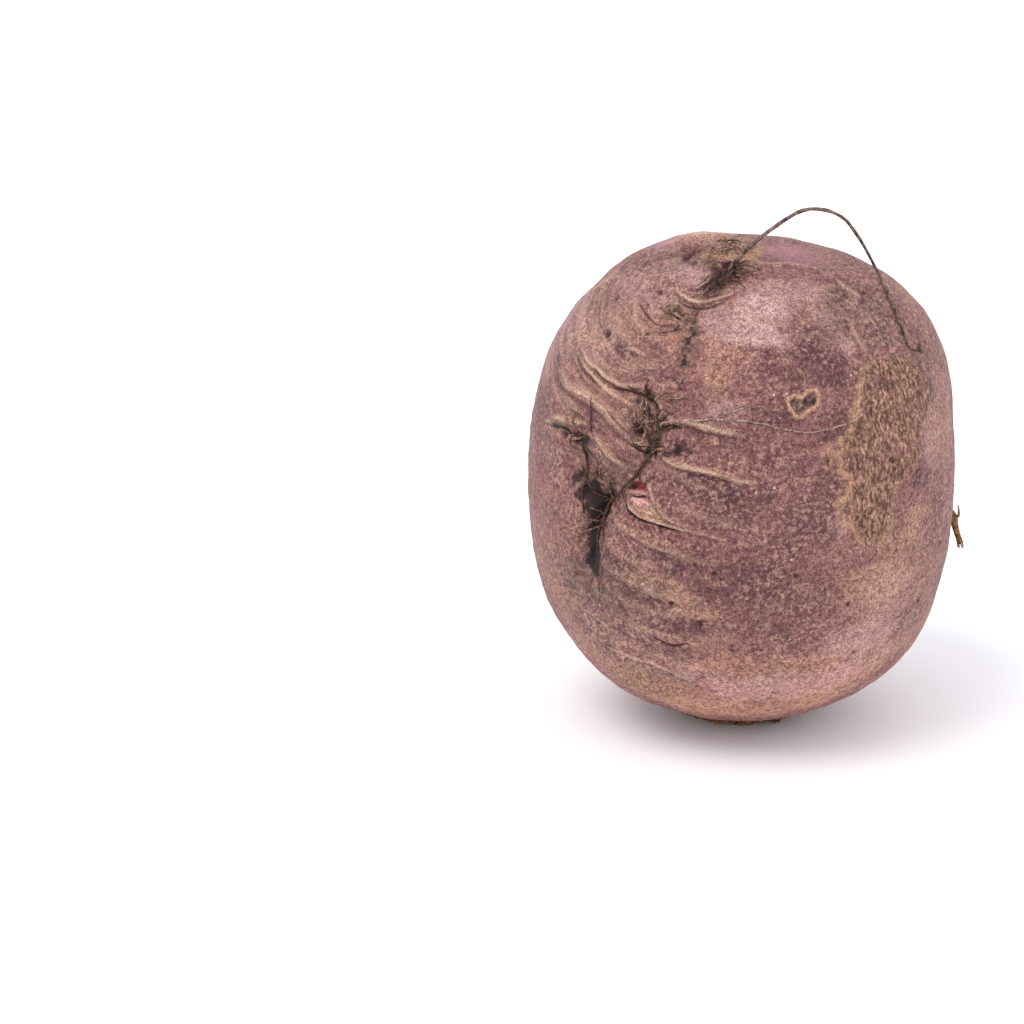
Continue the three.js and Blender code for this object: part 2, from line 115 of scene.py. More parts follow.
# Sharp cracks: course, width, depth
CRACKS = [
    ([(-45, 36.8), (-39, 37.2), (-33, 36.6), (-30, 35.6)], 0.55, 0.6),
    ([(-27, 30), (-24, 30.9), (-21, 31)], 0.7, 0.7),
    ([(-29, -28), (-26, -29), (-23, -30), (-18, -29)], 0.5, 0.6),
    ([(-16, -21.5), (-14, -22), (-12, -21.5)], 0.45, 0.4),
    ([(-14, -22), (-14, -24)], 0.45, 0.4),
    ([(-52, 57), (-44, 55), (-38, 54), (-32, 55)], 0.35, 0.35),
    ([(-58, 73), (-66, 75.5), (-73, 78.5), (-82, 81)], 1.4, 1.5),
    ([(-76, 80), (-95, 82), (-118, 82.8), (-145, 82), (-165, 82.3)], 0.8, 1),
    ([(-40, 9.5), (-35, 6.5), (-28, 5), (-20, 4)], 0.6, 0.6),
    ([(-36, 61.2), (-30, 60.6), (-20, 61.2), (-13, 63.4)], 0.45, 0.5),
    ([(-44, 12), (-48, 5), (-50, -3), (-49, -12)], 2.2, 1.5),
    ([(-36, 11.4), (-33, 11.5), (-29.6, 12.2)], 0.6, 0.9),
    ([(-68, 22), (-61, 23), (-55, 22)], 0.9, 0.7),
    ([(-27, 23.3), (-23, 23.6)], 0.45, 0.4),
    ([(-37, 25), (-33, 23.8), (-30, 23.6)], 0.6, 0.6),
    ([(61, 45), (62, 42.5), (65, 40.8)], 0.45, 0.35),
    ([(-45, 31), (-40, 28.6), (-36, 27)], 0.4, 0.3),
    ([(-31, 27), (-29, 25.5), (-28.5, 23)], 1.1, 1),
]
# Patchy dark dirt along both seams: course, width, strength
DIRT_STREAKS = [
    ([(-27, 59), (-25, 57), (-25, 53), (-25, 49.5), (-24.5, 46)], 0.75, 0.85),
    ([(-24.5, 46), (-23.5, 42), (-24, 38), (-27, 33)], 0.36, 0.6),
    ([(-38, 58), (-33, 58.5), (-28, 58)], 0.9, 0.7),
    (BACK_ROW, 0.8, 0.7),
]
# Holes where side roots broke away: place, radius, depth
PITS = [
    ((-34, 29), 1.15, 1.6), ((-53.5, 23), 1.1, 1.6), ((-60, 22), 0.8, 1), ((66, 41), 0.6, 0.5),
    ((-25, 74), 0.6, 0.9), ((-19, 76), 1, 0.9), ((-21.5, 25.3), 0.9, 0.5), ((-30.5, 24.7), 0.6, 0.8),
    ((-58, 48), 0.6, 0.45), ((-41, 51), 0.4, 0.35), ((-66, 56), 0.45, 0.35), ((-48, 62), 0.45, 0.4),
    ((-15, -5), 0.4, 0.4), ((-10, -7), 0.4, 0.35), ((-22, -17), 0.5, 0.4), ((60, 59), 0.5, 0.4),
    ((-33, 37.5), 0.8, 0.9), ((-31, 37), 0.6, 0.7), ((52, 14), 0.5, 0.3), ((50, 60), 0.4, 0.3),
    ((-7, 24), 0.35, 0.25), ((12, -8), 0.4, 0.3), ((28, -18), 0.45, 0.3), ((44, -6), 0.5, 0.35),
    ((58, -24), 0.6, 0.35), ((34, -34), 0.5, 0.3), ((66, -10), 0.4, 0.3), ((-5, -30), 0.4, 0.25),
    ((130, 20), 0.8, 0.6), ((-130, -10), 0.9, 0.7), ((-110, 44), 0.6, 0.5), ((100, -20), 0.6, 0.4),
    ((178, 40), 0.7, 0.5),
]
# Rough, soiled tissue round the scars and the tip: place, width, strength
ROUGH_PLACES = [
    ((-32, 33), 4.6, 1), ((-31, 27), 3.2, 1), ((-54, 23), 3.6, 0.9), ((-47, 12), 6, 0.5),
    ((-56, 76), 5, 0.7), ((-20, 77), 4.5, 0.9), ((-20, 69), 3, 0.8), ((-31, 57.5), 3.4, 1),
    ((-37, 58), 2.6, 0.8), ((-70, 70), 4, 0.4),
]
# Outlines of the corky patches and scabs
CORK_PATCH = [
    (45, 45), (41, 44), (37, 43), (34, 39), (31, 35), (29, 32), (28, 30), (25, 28), (24, 24), (24, 19),
    (27, 17), (25, 14), (23, 11), (25, 6), (30, 0), (37, -2), (42, 2), (41, 6), (43, 11), (46, 13), (53, 15),
    (56, 17), (51, 21), (56, 25), (61, 28), (65, 34), (62, 37), (56, 41), (50, 43),
]
CORK_ISLAND = [(20, 26), (22, 26), (23.2, 23), (22, 20), (20, 20), (19, 23)]
RING_SCAB = [
    (10, 38), (13, 39.2), (15, 38.4), (17, 40), (20, 40), (20.4, 38), (19.5, 36), (17, 35.4), (15.6, 35),
    (14.3, 33.8), (12.8, 34), (11, 36),
]
TIP_SCAB = [
    (-99, 82.4), (-135, 82), (-165, 82.3), (156, 84), (80, 84), (10, 82), (-14, 79.5), (-38, 77.5),
    (-56, 77.5), (-75, 80),
]
BACK_CORK = [(-118, 30), (-126, 36), (-138, 34), (-142, 24), (-136, 12), (-124, 8), (-114, 18)]
BACK_SCAB = [(112, -10), (118, -7), (124, -10), (123, -16), (115, -17)]
# Corky patches: outline, strength, how pitted, and the azimuth beyond which the cork thins out without
# a rim, or else NO_OPEN_SIDE
NO_OPEN_SIDE = 400
PATCHES = [
    (CORK_PATCH, 0.95, 1, 42), (CORK_ISLAND, 0.9, 0.5, NO_OPEN_SIDE), (TIP_SCAB, 1, 1, NO_OPEN_SIDE),
    (BACK_CORK, 0.75, 1, -128), (BACK_SCAB, 0.5, 0.6, NO_OPEN_SIDE),
]

# Coloured areas by mask: azimuth, elevation, half width and half height in degrees, strength and,
# where it isn't 0, turn
AREAS = {
    # deep: dark wine patches; the large ones low on the left, below the hollow, also paint a shadow there
    "deep": [
        (24, 48, 6, 7, 0.85), (28, 44, 5, 6, 0.8), (14, 43, 4, 3, 0.5), (9, 35, 9, 4, 0.7, -5),
        (-5, 30, 8, 3, 0.4), (-21, 26, 4, 2.6, 0.8), (-13, 17, 12, 4, 0.95, -12), (2, 15, 9, 3, 0.6, -5),
        (-22, -4, 8, 4, 0.9, -15), (-14, -4, 5, 5, 0.75), (-13, -12, 4, 5, 0.75),
        (-45, 45, 6, 1.8, 0.8, -15), (-57, 37, 7, 1.6, 0.9, -25), (-52, 29, 7, 3, 0.5, -20),
        (-36, 43, 5, 3, 0.4), (52, 12, 5, 3, 0.7), (24, 31, 7, 6, 0.6), (20, 16, 7, 8, 0.5),
        (5, 0, 12, 5, 0.45), (-30, -20, 8, 8, 0.7), (-24, -32, 12, 3.5, 0.5, -5), (-40, -16, 9, 12, 0.8),
        (10, 24, 12, 5, 0.45, -5), (-8, 9, 9, 3, 0.6, -10), (110, 40, 22, 14, 0.6, 15),
        (-150, -6, 24, 16, 0.5), (140, -34, 20, 12, 0.4), (-110, 6, 18, 16, 0.5), (88, 10, 8, 16, 0.4),
        (-76, 22, 9, 7, 0.5), (170, 10, 14, 20, 0.4), (-2, -8, 15, 8, 0.7), (-172, 34, 18, 9, 0.7, 10),
        (134, 36, 12, 9, 0.6), (-142, -22, 16, 8, 0.7, -10), (168, -24, 14, 7, 0.6), (-98, 26, 10, 8, 0.6),
        (-104, 70.5, 5, 3, 0.9), (-70, 34, 8, 2.2, 0.7, -25), (-58, 30, 8, 2, 0.7, -25), (16, 8, 12, 8, 0.5),
        (-46, -14, 9, 16, 0.9), (-20, -24, 9, 4, 0.7), (36, 8, 5, 8, 0.4),
    ],
    # pink: paler pink skin; the areas on the top, near azimuth 0 and elevation 55 to 66, also paint a
    # highlight there
    "pink": [
        (5, 62, 9, 7, 1), (2, 55, 10, 4, 0.9), (-12, 58, 8, 6, 0.6), (-28, 68, 8, 3, 0.8),
        (20, 66, 14, 5, 0.55, -10), (-62, 60, 12, 6, 0.4), (44, -22, 12, 6, 0.35), (35, -30, 15, 6, 0.6),
        (60, 20, 5, 9, 0.3), (25, 6, 3, 5, 0.5), (10, -44, 34, 6, 0.5), (-8, 36, 6, 4, 0.4),
        (-135, 76, 8, 8, 0.8), (34, 52, 4, 8, 0.5, 20), (-50, 60, 14, 6, 0.3), (-40, -44, 14, 4, 0.4),
        (170, 50, 30, 14, 0.5), (-96, 40, 20, 14, 0.4), (120, -20, 20, 14, 0.4), (-44, 70, 10, 5, 0.8),
        (42, -18, 14, 9, 0.35), (-62, 46, 9, 7, 0.4),
    ],
    # tan: tan scurf; the wide bands low round the body also paint light thrown up from the floor
    "tan": [
        (-11, 46, 5, 9, 0.75), (-38, 57, 6, 5, 0.6), (-33, 52, 5, 5, 0.5), (-25, -13, 10, 3.5, 0.9, -15),
        (-16, -19, 8, 4, 0.75, -20), (-14, -28, 8, 4, 0.5), (45, -3, 14, 6, 0.8), (38, 62, 10, 4, 0.4),
        (52, 2, 8, 5, 0.7), (20, -36, 20, 7, 0.6), (50, -12, 14, 8, 0.45), (-4, -36, 18, 6, 0.6),
        (60, -18, 12, 10, 0.5), (0, -50, 70, 7, 0.55), (26, 12, 3, 14, 0.4), (-60, -20, 14, 24, 0.3),
        (80, -34, 30, 12, 0.5), (-84, 50, 10, 9, 0.5), (-130, 52, 20, 10, 0.4), (140, 8, 16, 10, 0.4),
        (-170, -40, 30, 10, 0.5), (84, 44, 8, 16, 0.4), (-114, 77.5, 6, 4, 1), (40, -16, 15, 10, 0.9),
        (-56, 50, 12, 10, 0.45), (-29, 52, 4, 7, 0.7), (70, 20, 10, 14, 0.6), (1, -54, 50, 7, 0.9),
        (-166, 8, 12, 6, 0.8, 12), (148, 44, 9, 12, 0.8), (-156, 50, 10, 6, 0.7), (176, -14, 9, 5, 0.8, -15),
        (-130, -38, 22, 7, 0.7), (102, 14, 7, 12, 0.6),
    ],
    # grey: earthy grey-brown areas; those low on the left, below the hollow, also paint a shadow there
    "grey": [
        (48, 60, 9, 5, 0.8), (58, 48, 8, 8, 0.85), (64, 38, 5, 10, 0.75), (44, 50, 5, 6, 0.5),
        (-46, 14, 9, 8, 0.85), (-48, 75, 10, 4.5, 0.8), (-66, 69, 10, 4, 0.65), (-50, 70, 10, 4, 0.4),
        (-33, 32, 7, 6, 0.7), (12, -12, 12, 8, 0.35), (5, -24, 14, 6, 0.35), (60, -30, 10, 6, 0.5, 30),
        (-62, 50, 5, 3.5, 0.5), (150, 30, 12, 20, 0.4), (-160, 20, 16, 12, 0.4), (100, 62, 16, 8, 0.4),
        (54, 55, 12, 9, 0.85), (-38, -24, 13, 16, 0.6), (-32, -41, 15, 5, 0.85, -8), (-30, -12, 8, 12, 0.5),
        (-50, -22, 11, 24, 0.85), (156, 16, 6, 26, 0.7, 4), (-148, 36, 9, 7, 0.6), (118, -30, 12, 8, 0.6),
        (-44, 4, 8, 10, 0.7),
    ],
    "facet": [(74, 79.5, 7, 12, 1), (-104, 71.5, 6, 3.6, 1)],
    # soot: dark soil; the first three areas, in the hollow low on the left, paint the shade that falls in it
    "soot": [
        (-49, 4, 3.6, 7.5, 1, 12), (-48, -10, 3, 9, 0.9), (-54, 9, 3, 5, 0.6), (-18, 75, 2.4, 1.8, 0.7, 20),
        (-28, 27, 1.3, 3.2, 0.6, -15), (-53, 22, 3.4, 2.2, 0.7),
    ],
    "cork": [(-38, -45, 17, 5.5, 0.8, -8)],
}
# The lobe left of the seam and the flesh bared in the wound, as areas without a strength
LEFT_LOBE = (-62, 46, 34, 26)
PINK_FLESH = [(-31.3, 10.4, 3.4, 1.7, -8), (-34.4, 10.3, 1.4, 0.9)]
MASKS = (*AREAS, "welt", "dark", "dirt", "rim", "flesh", "blood", "crown", "ring", "lobe", "low")
LINES = ("across", "run", "edge", "edged", "cut", "cut_deep")


# Soft noise
def cell_value(cell):
    """A random number from -1 to 1 for each cell of a grid, always the same for the same cell."""
    n = (cell[:, 0] * 73856093) ^ (cell[:, 1] * 19349663) ^ (cell[:, 2] * 83492791)
    n = (n & 0xFFFFFFFF) * 2654435761 & 0xFFFFFFFF
    n = (n ^ (n >> 15)) * 2246822519 & 0xFFFFFFFF
    return (n ^ (n >> 13)) / 2147483648.0 - 1


def cloud(p, size, seed, octaves=3):
    """Noise from about -1 to 1 at points p; size is the width of its largest blotches, in mm."""
    total = np.zeros(len(p))
    weight, weights = 1.0, 0.0
    q = p / size + 31.7 * (seed + 1)
    for _ in range(octaves):
        cell = np.floor(q).astype(np.int64)
        f = q - cell
        f = f * f * (3 - 2 * f)
        for corner in range(8):
            step = np.array([corner & 1, corner >> 1 & 1, corner >> 2 & 1])
            total += weight * cell_value(cell + step) * np.prod(np.where(step, f, 1 - f), axis=1)
        weights += weight
        weight *= 0.5
        q = q * 2.03 + 11.3
    return 1.6 * total / weights


def smooth(value, low, high):
    t = np.clip((value - low) / (high - low), 0, 1)
    return t * t * (3 - 2 * t)


def bell(x, power=2):
    """1 at 0, falling softly to 0 on both sides; a higher power gives a flatter top."""
    return np.exp(-(x**power))


def fade(t, power=0.5):
    """1 in the middle of a course and 0 at its ends."""
    return np.sin(math.pi * np.clip(t * 0.94 + 0.03, 0, 1)) ** power


# Places on the skin
def direction(azimuth, elevation):
    a, e = np.radians(azimuth), np.radians(elevation)
    return np.stack([np.sin(a) * np.cos(e), -np.cos(a) * np.cos(e), np.sin(e)], axis=-1)


def unit(v):
    return v / np.linalg.norm(v, axis=-1, keepdims=True)


def degrees_apart(d, place):
    return np.degrees(np.arccos(np.clip(d @ direction(*place), -1, 1)))


def mm_apart(d, place):
    return degrees_apart(d, place) * MM_PER_DEGREE


def compass(up):
    """The directions east and north on the skin at a direction up from the heart."""
    east = unit(np.cross([0, 0, 1.0], up))
    return east, np.cross(up, east)


def catmull(points, count):
    """A smooth curve through the points, at count places."""
    p = np.asarray(points, float)
    p = np.vstack([2 * p[0] - p[1], p, 2 * p[-1] - p[-2]])
    u = np.linspace(0, len(p) - 3, count)
    k = np.minimum(u.astype(int), len(p) - 4)
    t = (u - k)[:, None]
    a, b, c, d = p[k], p[k + 1], p[k + 2], p[k + 3]
    bends = (c - a) * t + (2 * a - 5 * b + 4 * c - d) * t**2 + (3 * b - a - 3 * c + d) * t**3
    return 0.5 * (2 * b + bends)


class Course:
    """A line on the skin. near(d) gives which directions are within reach, how far they are (mm), how
    far to the left of the way it runs (mm, negative to the right) and how far along it (0 to 1)."""

    def __init__(self, along, reach):
        self.line = unit(catmull([direction(*place[:2]) for place in along], 10 * len(along)))
        self.left = unit(np.cross(self.line, np.gradient(self.line, axis=0)))
        self.centre = unit(self.line.mean(axis=0))
        widest = np.arccos(np.clip(self.line @ self.centre, -1, 1)).max()
        self.closeness = math.cos(min(math.pi, widest + math.radians(reach / MM_PER_DEGREE)))

    def near(self, d):
        index = np.flatnonzero(d @ self.centre > self.closeness)
        best = np.zeros(len(index), int)
        dots = np.full(len(index), -2.0)
        for k, place in enumerate(self.line):
            value = d[index] @ place
            better = value > dots
            best[better] = k
            dots[better] = value[better]
        apart = np.degrees(np.arccos(np.clip(dots, -1, 1))) * MM_PER_DEGREE
        side = np.degrees(np.einsum("ij,ij->i", d[index], self.left[best])) * MM_PER_DEGREE
        return index, apart, side, best / (len(self.line) - 1)


def outline_depth(d, outline):
    """How far inside an outline on the skin each direction is, in mm; negative outside."""
    corners = np.array([direction(*place) for place in outline])
    up = unit(corners.mean(axis=0))
    east, north = compass(up)
    radius = math.degrees(MM_PER_DEGREE)
    x, y = radius * (d @ east), radius * (d @ north)
    corner_x, corner_y = radius * (corners @ east), radius * (corners @ north)
    inside = np.zeros(len(d), bool)
    apart = np.full(len(d), 1e6)
    for k in range(len(outline)):
        x0, y0 = corner_x[k - 1], corner_y[k - 1]
        wide, tall = corner_x[k] - x0, corner_y[k] - y0
        crosses = (y0 > y) != (corner_y[k] > y)
        inside ^= crosses & (x < wide * (y - y0) / (tall + 1e-12) + x0)
        t = np.clip(((x - x0) * wide + (y - y0) * tall) / (wide**2 + tall**2), 0, 1)
        apart = np.minimum(apart, np.hypot(x - x0 - t * wide, y - y0 - t * tall))
    behind = d @ up < 0.3
    return np.where(behind, -1e3, np.where(inside, apart, -apart))


# The hidden back, by a seeded rule
def seeded_numbers(seed):
    """The same run of numbers from 0 to 1 as in the part's source."""
    state = seed
    while True:
        state = (state * 1664525 + 1013904223) % 4294967296
        yield state / 4294967296


SEAM_STEPS = 399
BACK_SEAM_LINE = catmull(BACK_ROW, SEAM_STEPS + 1)


def back_wrinkles():
    """Welts that leave the back seam to both sides in turn, and the rootlets that hang from it."""
    numbers = seeded_numbers(23)
    wrinkles, rootlets = [], []
    for k in range(9):
        side = 1 if k % 2 == 0 else -1
        az, el = BACK_SEAM_LINE[int(SEAM_STEPS * (k + 0.6) / 9.5)]
        reach, drop = 12 + 12 * next(numbers), 2 + 5 * next(numbers)
        course = [(az + side * 3, el), (az + side * (3 + reach / 2), el + 1.5)]
        course.append((az + side * (3 + reach), el - drop))
        wide, high = 1.5 + 0.8 * next(numbers), 0.6 + 0.3 * next(numbers)
        wrinkles.append((course, 0.75 * wide, high, 0.4, 0.45))
    for k in range(7):
        side = -1 if k % 2 == 0 else 1
        az, el = BACK_SEAM_LINE[int(SEAM_STEPS * (k + 0.3 + 0.4 * next(numbers)) / 7)]
        reach = 3 + 4 * next(numbers)
        rootlets.append([(az, el, -0.8), (az + side * reach / 2, el - 4, 0.5),
                         (az + side * reach, el - 7 - 3 * next(numbers), 0.2)])
    return wrinkles, rootlets


def back_arcs():
    """Faint arcs that leave the back seam on both sides, each of its own length and slope."""
    numbers = seeded_numbers(57)
    arcs = []
    for k in range(26):
        side = 1 if k % 2 == 0 else -1
        az, el = BACK_SEAM_LINE[int(SEAM_STEPS * (k + next(numbers)) / 27)]
        start, reach, drop = 1 + 8 * next(numbers), 8 + 22 * next(numbers), 6 * next(numbers) - 1
        course = []
        for t in (0, 0.35, 0.7, 1):
            course.append((az + side * (start + reach * t), el + 1.2 * math.sin(3 * t) - drop * t * t))
        arcs.append((course, 0.8 + 1.0 * next(numbers), 0.2 + 0.2 * next(numbers)))
    return arcs


# The courses, each with how far it reaches to both sides in mm
def courses(table, reach):
    return [(Course(along, reach), *rest) for along, *rest in table]


BACK_WELTS, BACK_ROOTLETS = back_wrinkles()
FURROW_COURSES = [(Course(along, 3 * wide), wide, deep) for along, wide, deep in FURROWS]
WELT_COURSES = courses(WELTS + BACK_WELTS, 5)
ARC_COURSES = courses(FAINT_ARCS + back_arcs(), 4)
STREAK_COURSES = courses(DIRT_STREAKS, 3)
CRACK_COURSES = courses(CRACKS, 2.5)
SEAM = Course([(-26, 64), (-29, 58), (-24, 55), (-24, 48), (-25, 40), (-27, 32), (-31, 24), (-38, 14),
               (-46, 5), (-48, -8)], 9)
BACK_SEAM = Course(BACK_ROW, 9)
WOUND = Course([(-37.8, 12.8), (-33.5, 14), (-29.6, 13.6)], 4)
WHITE_BAND = Course([(-37.2, 12.1), (-33.5, 12.5), (-29.8, 13)], 3)
TORN_LIP = Course([(-33.5, 8.6), (-30, 8.6), (-26.5, 7.4), (-24, 6)], 3)
WOUND_HALF_WIDTH, BAND_HALF_WIDTH = 1.25, 0.42
TIP_CRACK, TIP_CRACK_REACH = (-67, 76.3), 2.1


def plain_radius(d):
    """The swollen root without its fine relief: a rounded box, its swells and its furrows."""
    level = np.hypot(d[:, 0] / HALF_WIDTH, d[:, 1] / HALF_DEPTH)
    up = np.abs(d[:, 2]) / HALF_HEIGHT
    r = (level**SQUARENESS + up**SQUARENESS) ** (-1 / SQUARENESS)
    for place, spread, rise in SWELLS:
        r += rise * bell(degrees_apart(d, place) / spread)
    for course, wide, deep in FURROW_COURSES:
        i, apart, _, t = course.near(d)
        r[i] -= deep * fade(t) * bell(apart / wide)
    return r


# Every direction of the skin
ALL = slice(None)


class Skin:
    """The skin in the directions d: how far its relief stands out in mm, masks from 0 to 1 that colour
    it, and lines: distances across and along the welts and cracks that its material draws from."""

    def __init__(self, d):
        self.d = d
        self.radius = plain_radius(d)
        self.p = HEART + d * self.radius[:, None]
        self.relief = np.zeros(len(d))
        self.masks = {name: np.zeros(len(d)) for name in MASKS}
        self.lines = {name: np.zeros(len(d)) for name in LINES}
        self.raggedness = self.noise(7, 5)

    def noise(self, size, seed, at=ALL, octaves=3):
        return cloud(self.p[at], size, seed, octaves)

    def mark(self, name, value, at=ALL):
        """Raises a mask to a value where the value is higher."""
        self.masks[name][at] = np.maximum(self.masks[name][at], value)

    def draw(self, i, weight, strongest, **lines):
        """Keeps the lines of a course where its weight is the strongest so far."""
        new = weight > strongest[i]
        strongest[i[new]] = weight[new]
        for name, value in lines.items():
            self.lines[name][i[new]] = value[new]

    def blotch(self, azimuth, elevation, wide, tall, turn=0, ragged=0.35):
        """A soft-edged oval area, 1 in its middle and 0 outside."""
        up = direction(azimuth, elevation)
        east, north = compass(up)
        x, y = np.degrees(self.d @ east), np.degrees(self.d @ north)
        a = math.radians(turn)
        x, y = x * math.cos(a) + y * math.sin(a), y * math.cos(a) - x * math.sin(a)
        far = np.hypot(x / wide, y / tall) + ragged * self.raggedness
        return np.where(self.d @ up > 0, 1 - smooth(far, 0.45, 1.2), 0)

    def lay_grain(self):
        """Broad unevenness and fine folds: level on the body, in arcs round the tip on the left lobe."""
        lobe = self.masks["lobe"] = self.blotch(*LEFT_LOBE)
        for rise, size, seed, octaves in UNEVENNESS:
            self.relief += rise * self.noise(size, seed, octaves=octaves)
        rings = np.linalg.norm(self.p - FOLD_CENTRE, axis=1)
        rings = np.c_[rings, self.p[:, 0] / 7, self.p[:, 1] / 7]
        self.relief += 0.19 * lobe * cloud(rings, 1.9, 4, 2)
        self.relief += 0.05 * (1 - lobe) * cloud(self.p * (0.3, 0.3, 1), 1.5, 4, 2)

    def raise_welts(self):
        """Pale folds, gentle on the left of the way they run and steep on the right, below most of them,
        where some have a dark crack. The lines drawn here let the material paint a highlight along each
        crest and shade along the steep side."""
        strongest = np.zeros(len(self.d))
        for number, (course, wide, high, crack, pale) in enumerate(WELT_COURSES):
            i, apart, side, t = course.near(self.d)
            ends = fade(t, 0.7)
            across = side + 0.3 * self.noise(3.5, 6, i)
            off = across / (0.5 * wide * (0.4 + 0.6 * ends))
            beyond = np.maximum(0, apart - np.abs(side)) / (0.5 * wide)
            crest = bell(np.maximum(off, 0) / 1.35, 1.7) * bell(np.maximum(-off, 0) / 0.8, 3) * bell(beyond)
            swell = bell(side / (1.5 * wide)) * bell(beyond)
            self.relief[i] += high * ends * (0.8 * crest * (1 + 0.3 * self.noise(1.3, 7, i)) + 0.35 * swell)
            shade = ends * pale * (0.75 + 0.4 * self.noise(3, 30, i))
            self.mark("welt", np.clip(smooth(crest, 0.1, 0.8) * shade, 0, 1), i)
            broken = smooth(self.noise(4, 31, i), -0.8, 0.2)
            edge = across + 0.62 * wide
            self.relief[i] -= 0.6 * crack * bell(edge / 0.3) * bell(beyond) * ends * broken
            weight = bell(side / (1.6 * wide)) * bell(beyond) * ends
            self.draw(i, weight, strongest, across=across, run=t * 20 + 37 * number, edge=edge,
                      edged=weight * broken * min(1.0, 1.7 * crack))

    def raise_arcs(self):
        """Low, soft folds that are only a little paler than the skin."""
        for course, wide, high in ARC_COURSES:
            i, apart, side, t = course.near(self.d)
            off = (side + 0.5 * self.noise(4, 8, i)) / (wide / 2)
            beyond = np.maximum(0, apart - np.abs(side)) / (wide / 2)
            crest = bell(off) * bell(beyond) * fade(t, 1.0)
            self.relief[i] += 0.8 * high * crest
            self.mark("welt", 0.28 * crest, i)

    def cut_cracks(self):
        """Thin cracks that the material draws; the wider ones are in the dark mask too."""
        strongest = np.zeros(len(self.d))
        for course, wide, deep in CRACK_COURSES:
            i, apart, side, t = course.near(self.d)
            cut = bell((apart + 0.18 * self.noise(1.5, 9, i)) / (wide * 0.5)) * fade(t, 0.8)
            self.relief[i] -= deep * cut
            self.mark("dark", cut * smooth(wide, 0.7, 1.4), i)
            weight = bell(apart / (1.2 * wide)) * fade(t, 0.6)
            self.draw(i, weight, strongest, cut=(side + 0.12 * self.noise(1.2, 49, i)) / wide,
                      cut_deep=np.minimum(1, 1.8 * weight) * smooth(wide, 0.0, 0.7))

    def press_pits(self):
        """Dark holes, each with a low rim."""
        uneven = 0.2 * self.noise(1.4, 10)
        for place, radius, deep in PITS:
            apart = mm_apart(self.d, place) + uneven
            hole = bell(np.maximum(apart, 0) / radius, 4)
            self.relief -= deep * hole
            self.relief += 0.2 * deep * bell((apart - 1.5 * radius) / (0.4 * radius))
            self.mark("dark", hole)

    def open_wound(self):
        """The wound beside the seam: red, with a white band, a black slit and a torn pink lower lip."""
        i, apart, side, t = WOUND.near(self.d)
        half = WOUND_HALF_WIDTH * np.sin(math.pi * np.clip(t, 0.02, 0.98)) ** 0.7
        opening = 1 - smooth(apart + 0.15 * self.noise(1.5, 11, i), half * 0.8, half * 1.15)
        self.relief[i] -= opening
        self.mark("blood", opening, i)
        lip = bell((apart - half * 1.25) / 0.3) * fade(t) * smooth(side, -0.3, 0.4)
        self.relief[i] += 0.35 * lip
        self.mark("welt", 0.7 * lip, i)

        i, apart, _, t = WHITE_BAND.near(self.d)
        band = bell(apart / BAND_HALF_WIDTH) * fade(t, 0.3)
        self.relief[i] += 0.55 * band
        self.mark("flesh", band, i)
        for oval in PINK_FLESH:
            pink = smooth(self.blotch(*oval, ragged=0.12), 0.2, 0.7)
            self.relief += pink * (0.15 + 0.25 * self.noise(0.9, 34))
            self.mark("flesh", pink * smooth(self.noise(1.3, 35), -0.7, -0.1))

        i, apart, _, t = TORN_LIP.near(self.d)
        torn = (1 - smooth(apart + 0.5 * self.noise(1.4, 33, i), 0.6, 1.4)) * fade(t, 0.4)
        self.relief[i] += torn * 0.35 * self.noise(0.9, 50, i)
        self.mark("welt", 0.9 * torn, i)
        self.mark("dark", 0.9 * torn * smooth(self.noise(1, 36, i), 0.25, 0.55), i)

    def redden_tip_crack(self):
        """The crack beside the tip is red inside, where the other cracks are dark."""
        crack = bell(mm_apart(self.d, TIP_CRACK) / TIP_CRACK_REACH, 4)
        self.mark("blood", crack * smooth(self.masks["dark"], 0.05, 0.5))
        self.masks["dark"] *= 1 - 0.9 * crack * smooth(self.noise(1.2, 37), -0.4, 0.2)
        self.lines["cut_deep"] *= 1 - crack

    def soil_seams(self):
        """Dirt along both seams, then grey and black streaks of it."""
        for course, strength, wide in ((SEAM, 0.8, 1.0), (BACK_SEAM, 0.75, 1.6)):
            i, apart, _, t = course.near(self.d)
            line = bell((apart + self.noise(3, 12, i)) / wide) * fade(t, 0.3)
            self.mark("dirt", strength * smooth(line + 0.45 * self.noise(1.6, 13, i), 0.3, 1.0), i)
            self.relief[i] += 0.25 * line * self.noise(1, 38, i)
        for course, wide, strength in STREAK_COURSES:
            i, apart, _, t = course.near(self.d)
            line = bell((apart + 0.4 * self.noise(1.6, 51, i)) / wide) * fade(t, 0.3)
            self.mark("dirt", strength * smooth(line + 0.5 * self.noise(1.3, 52, i), 0.25, 0.75), i)
            self.mark("grey", strength * smooth(line, 0.1, 0.6), i)
            self.mark("soot", 0.75 * strength * smooth(line + 0.6 * self.noise(0.9, 54, i), 0.55, 1.0), i)

    def roughen_scars(self):
        """Lumpy, soiled and torn tissue round each rough place."""
        ragged, lumps = 1.4 * self.noise(3, 14), 0.3 * self.noise(1.2, 15) + 0.1
        soiled, torn = smooth(self.noise(1.1, 16), -0.4, 0.4), smooth(self.noise(1, 39), 0.25, 0.6)
        for place, wide, strength in ROUGH_PLACES:
            rough = strength * (1 - smooth(mm_apart(self.d, place) + ragged, 0.5 * wide, wide))
            self.relief += rough * lumps
            self.mark("dirt", 0.9 * rough * soiled)
            self.mark("dark", 0.8 * rough * torn)

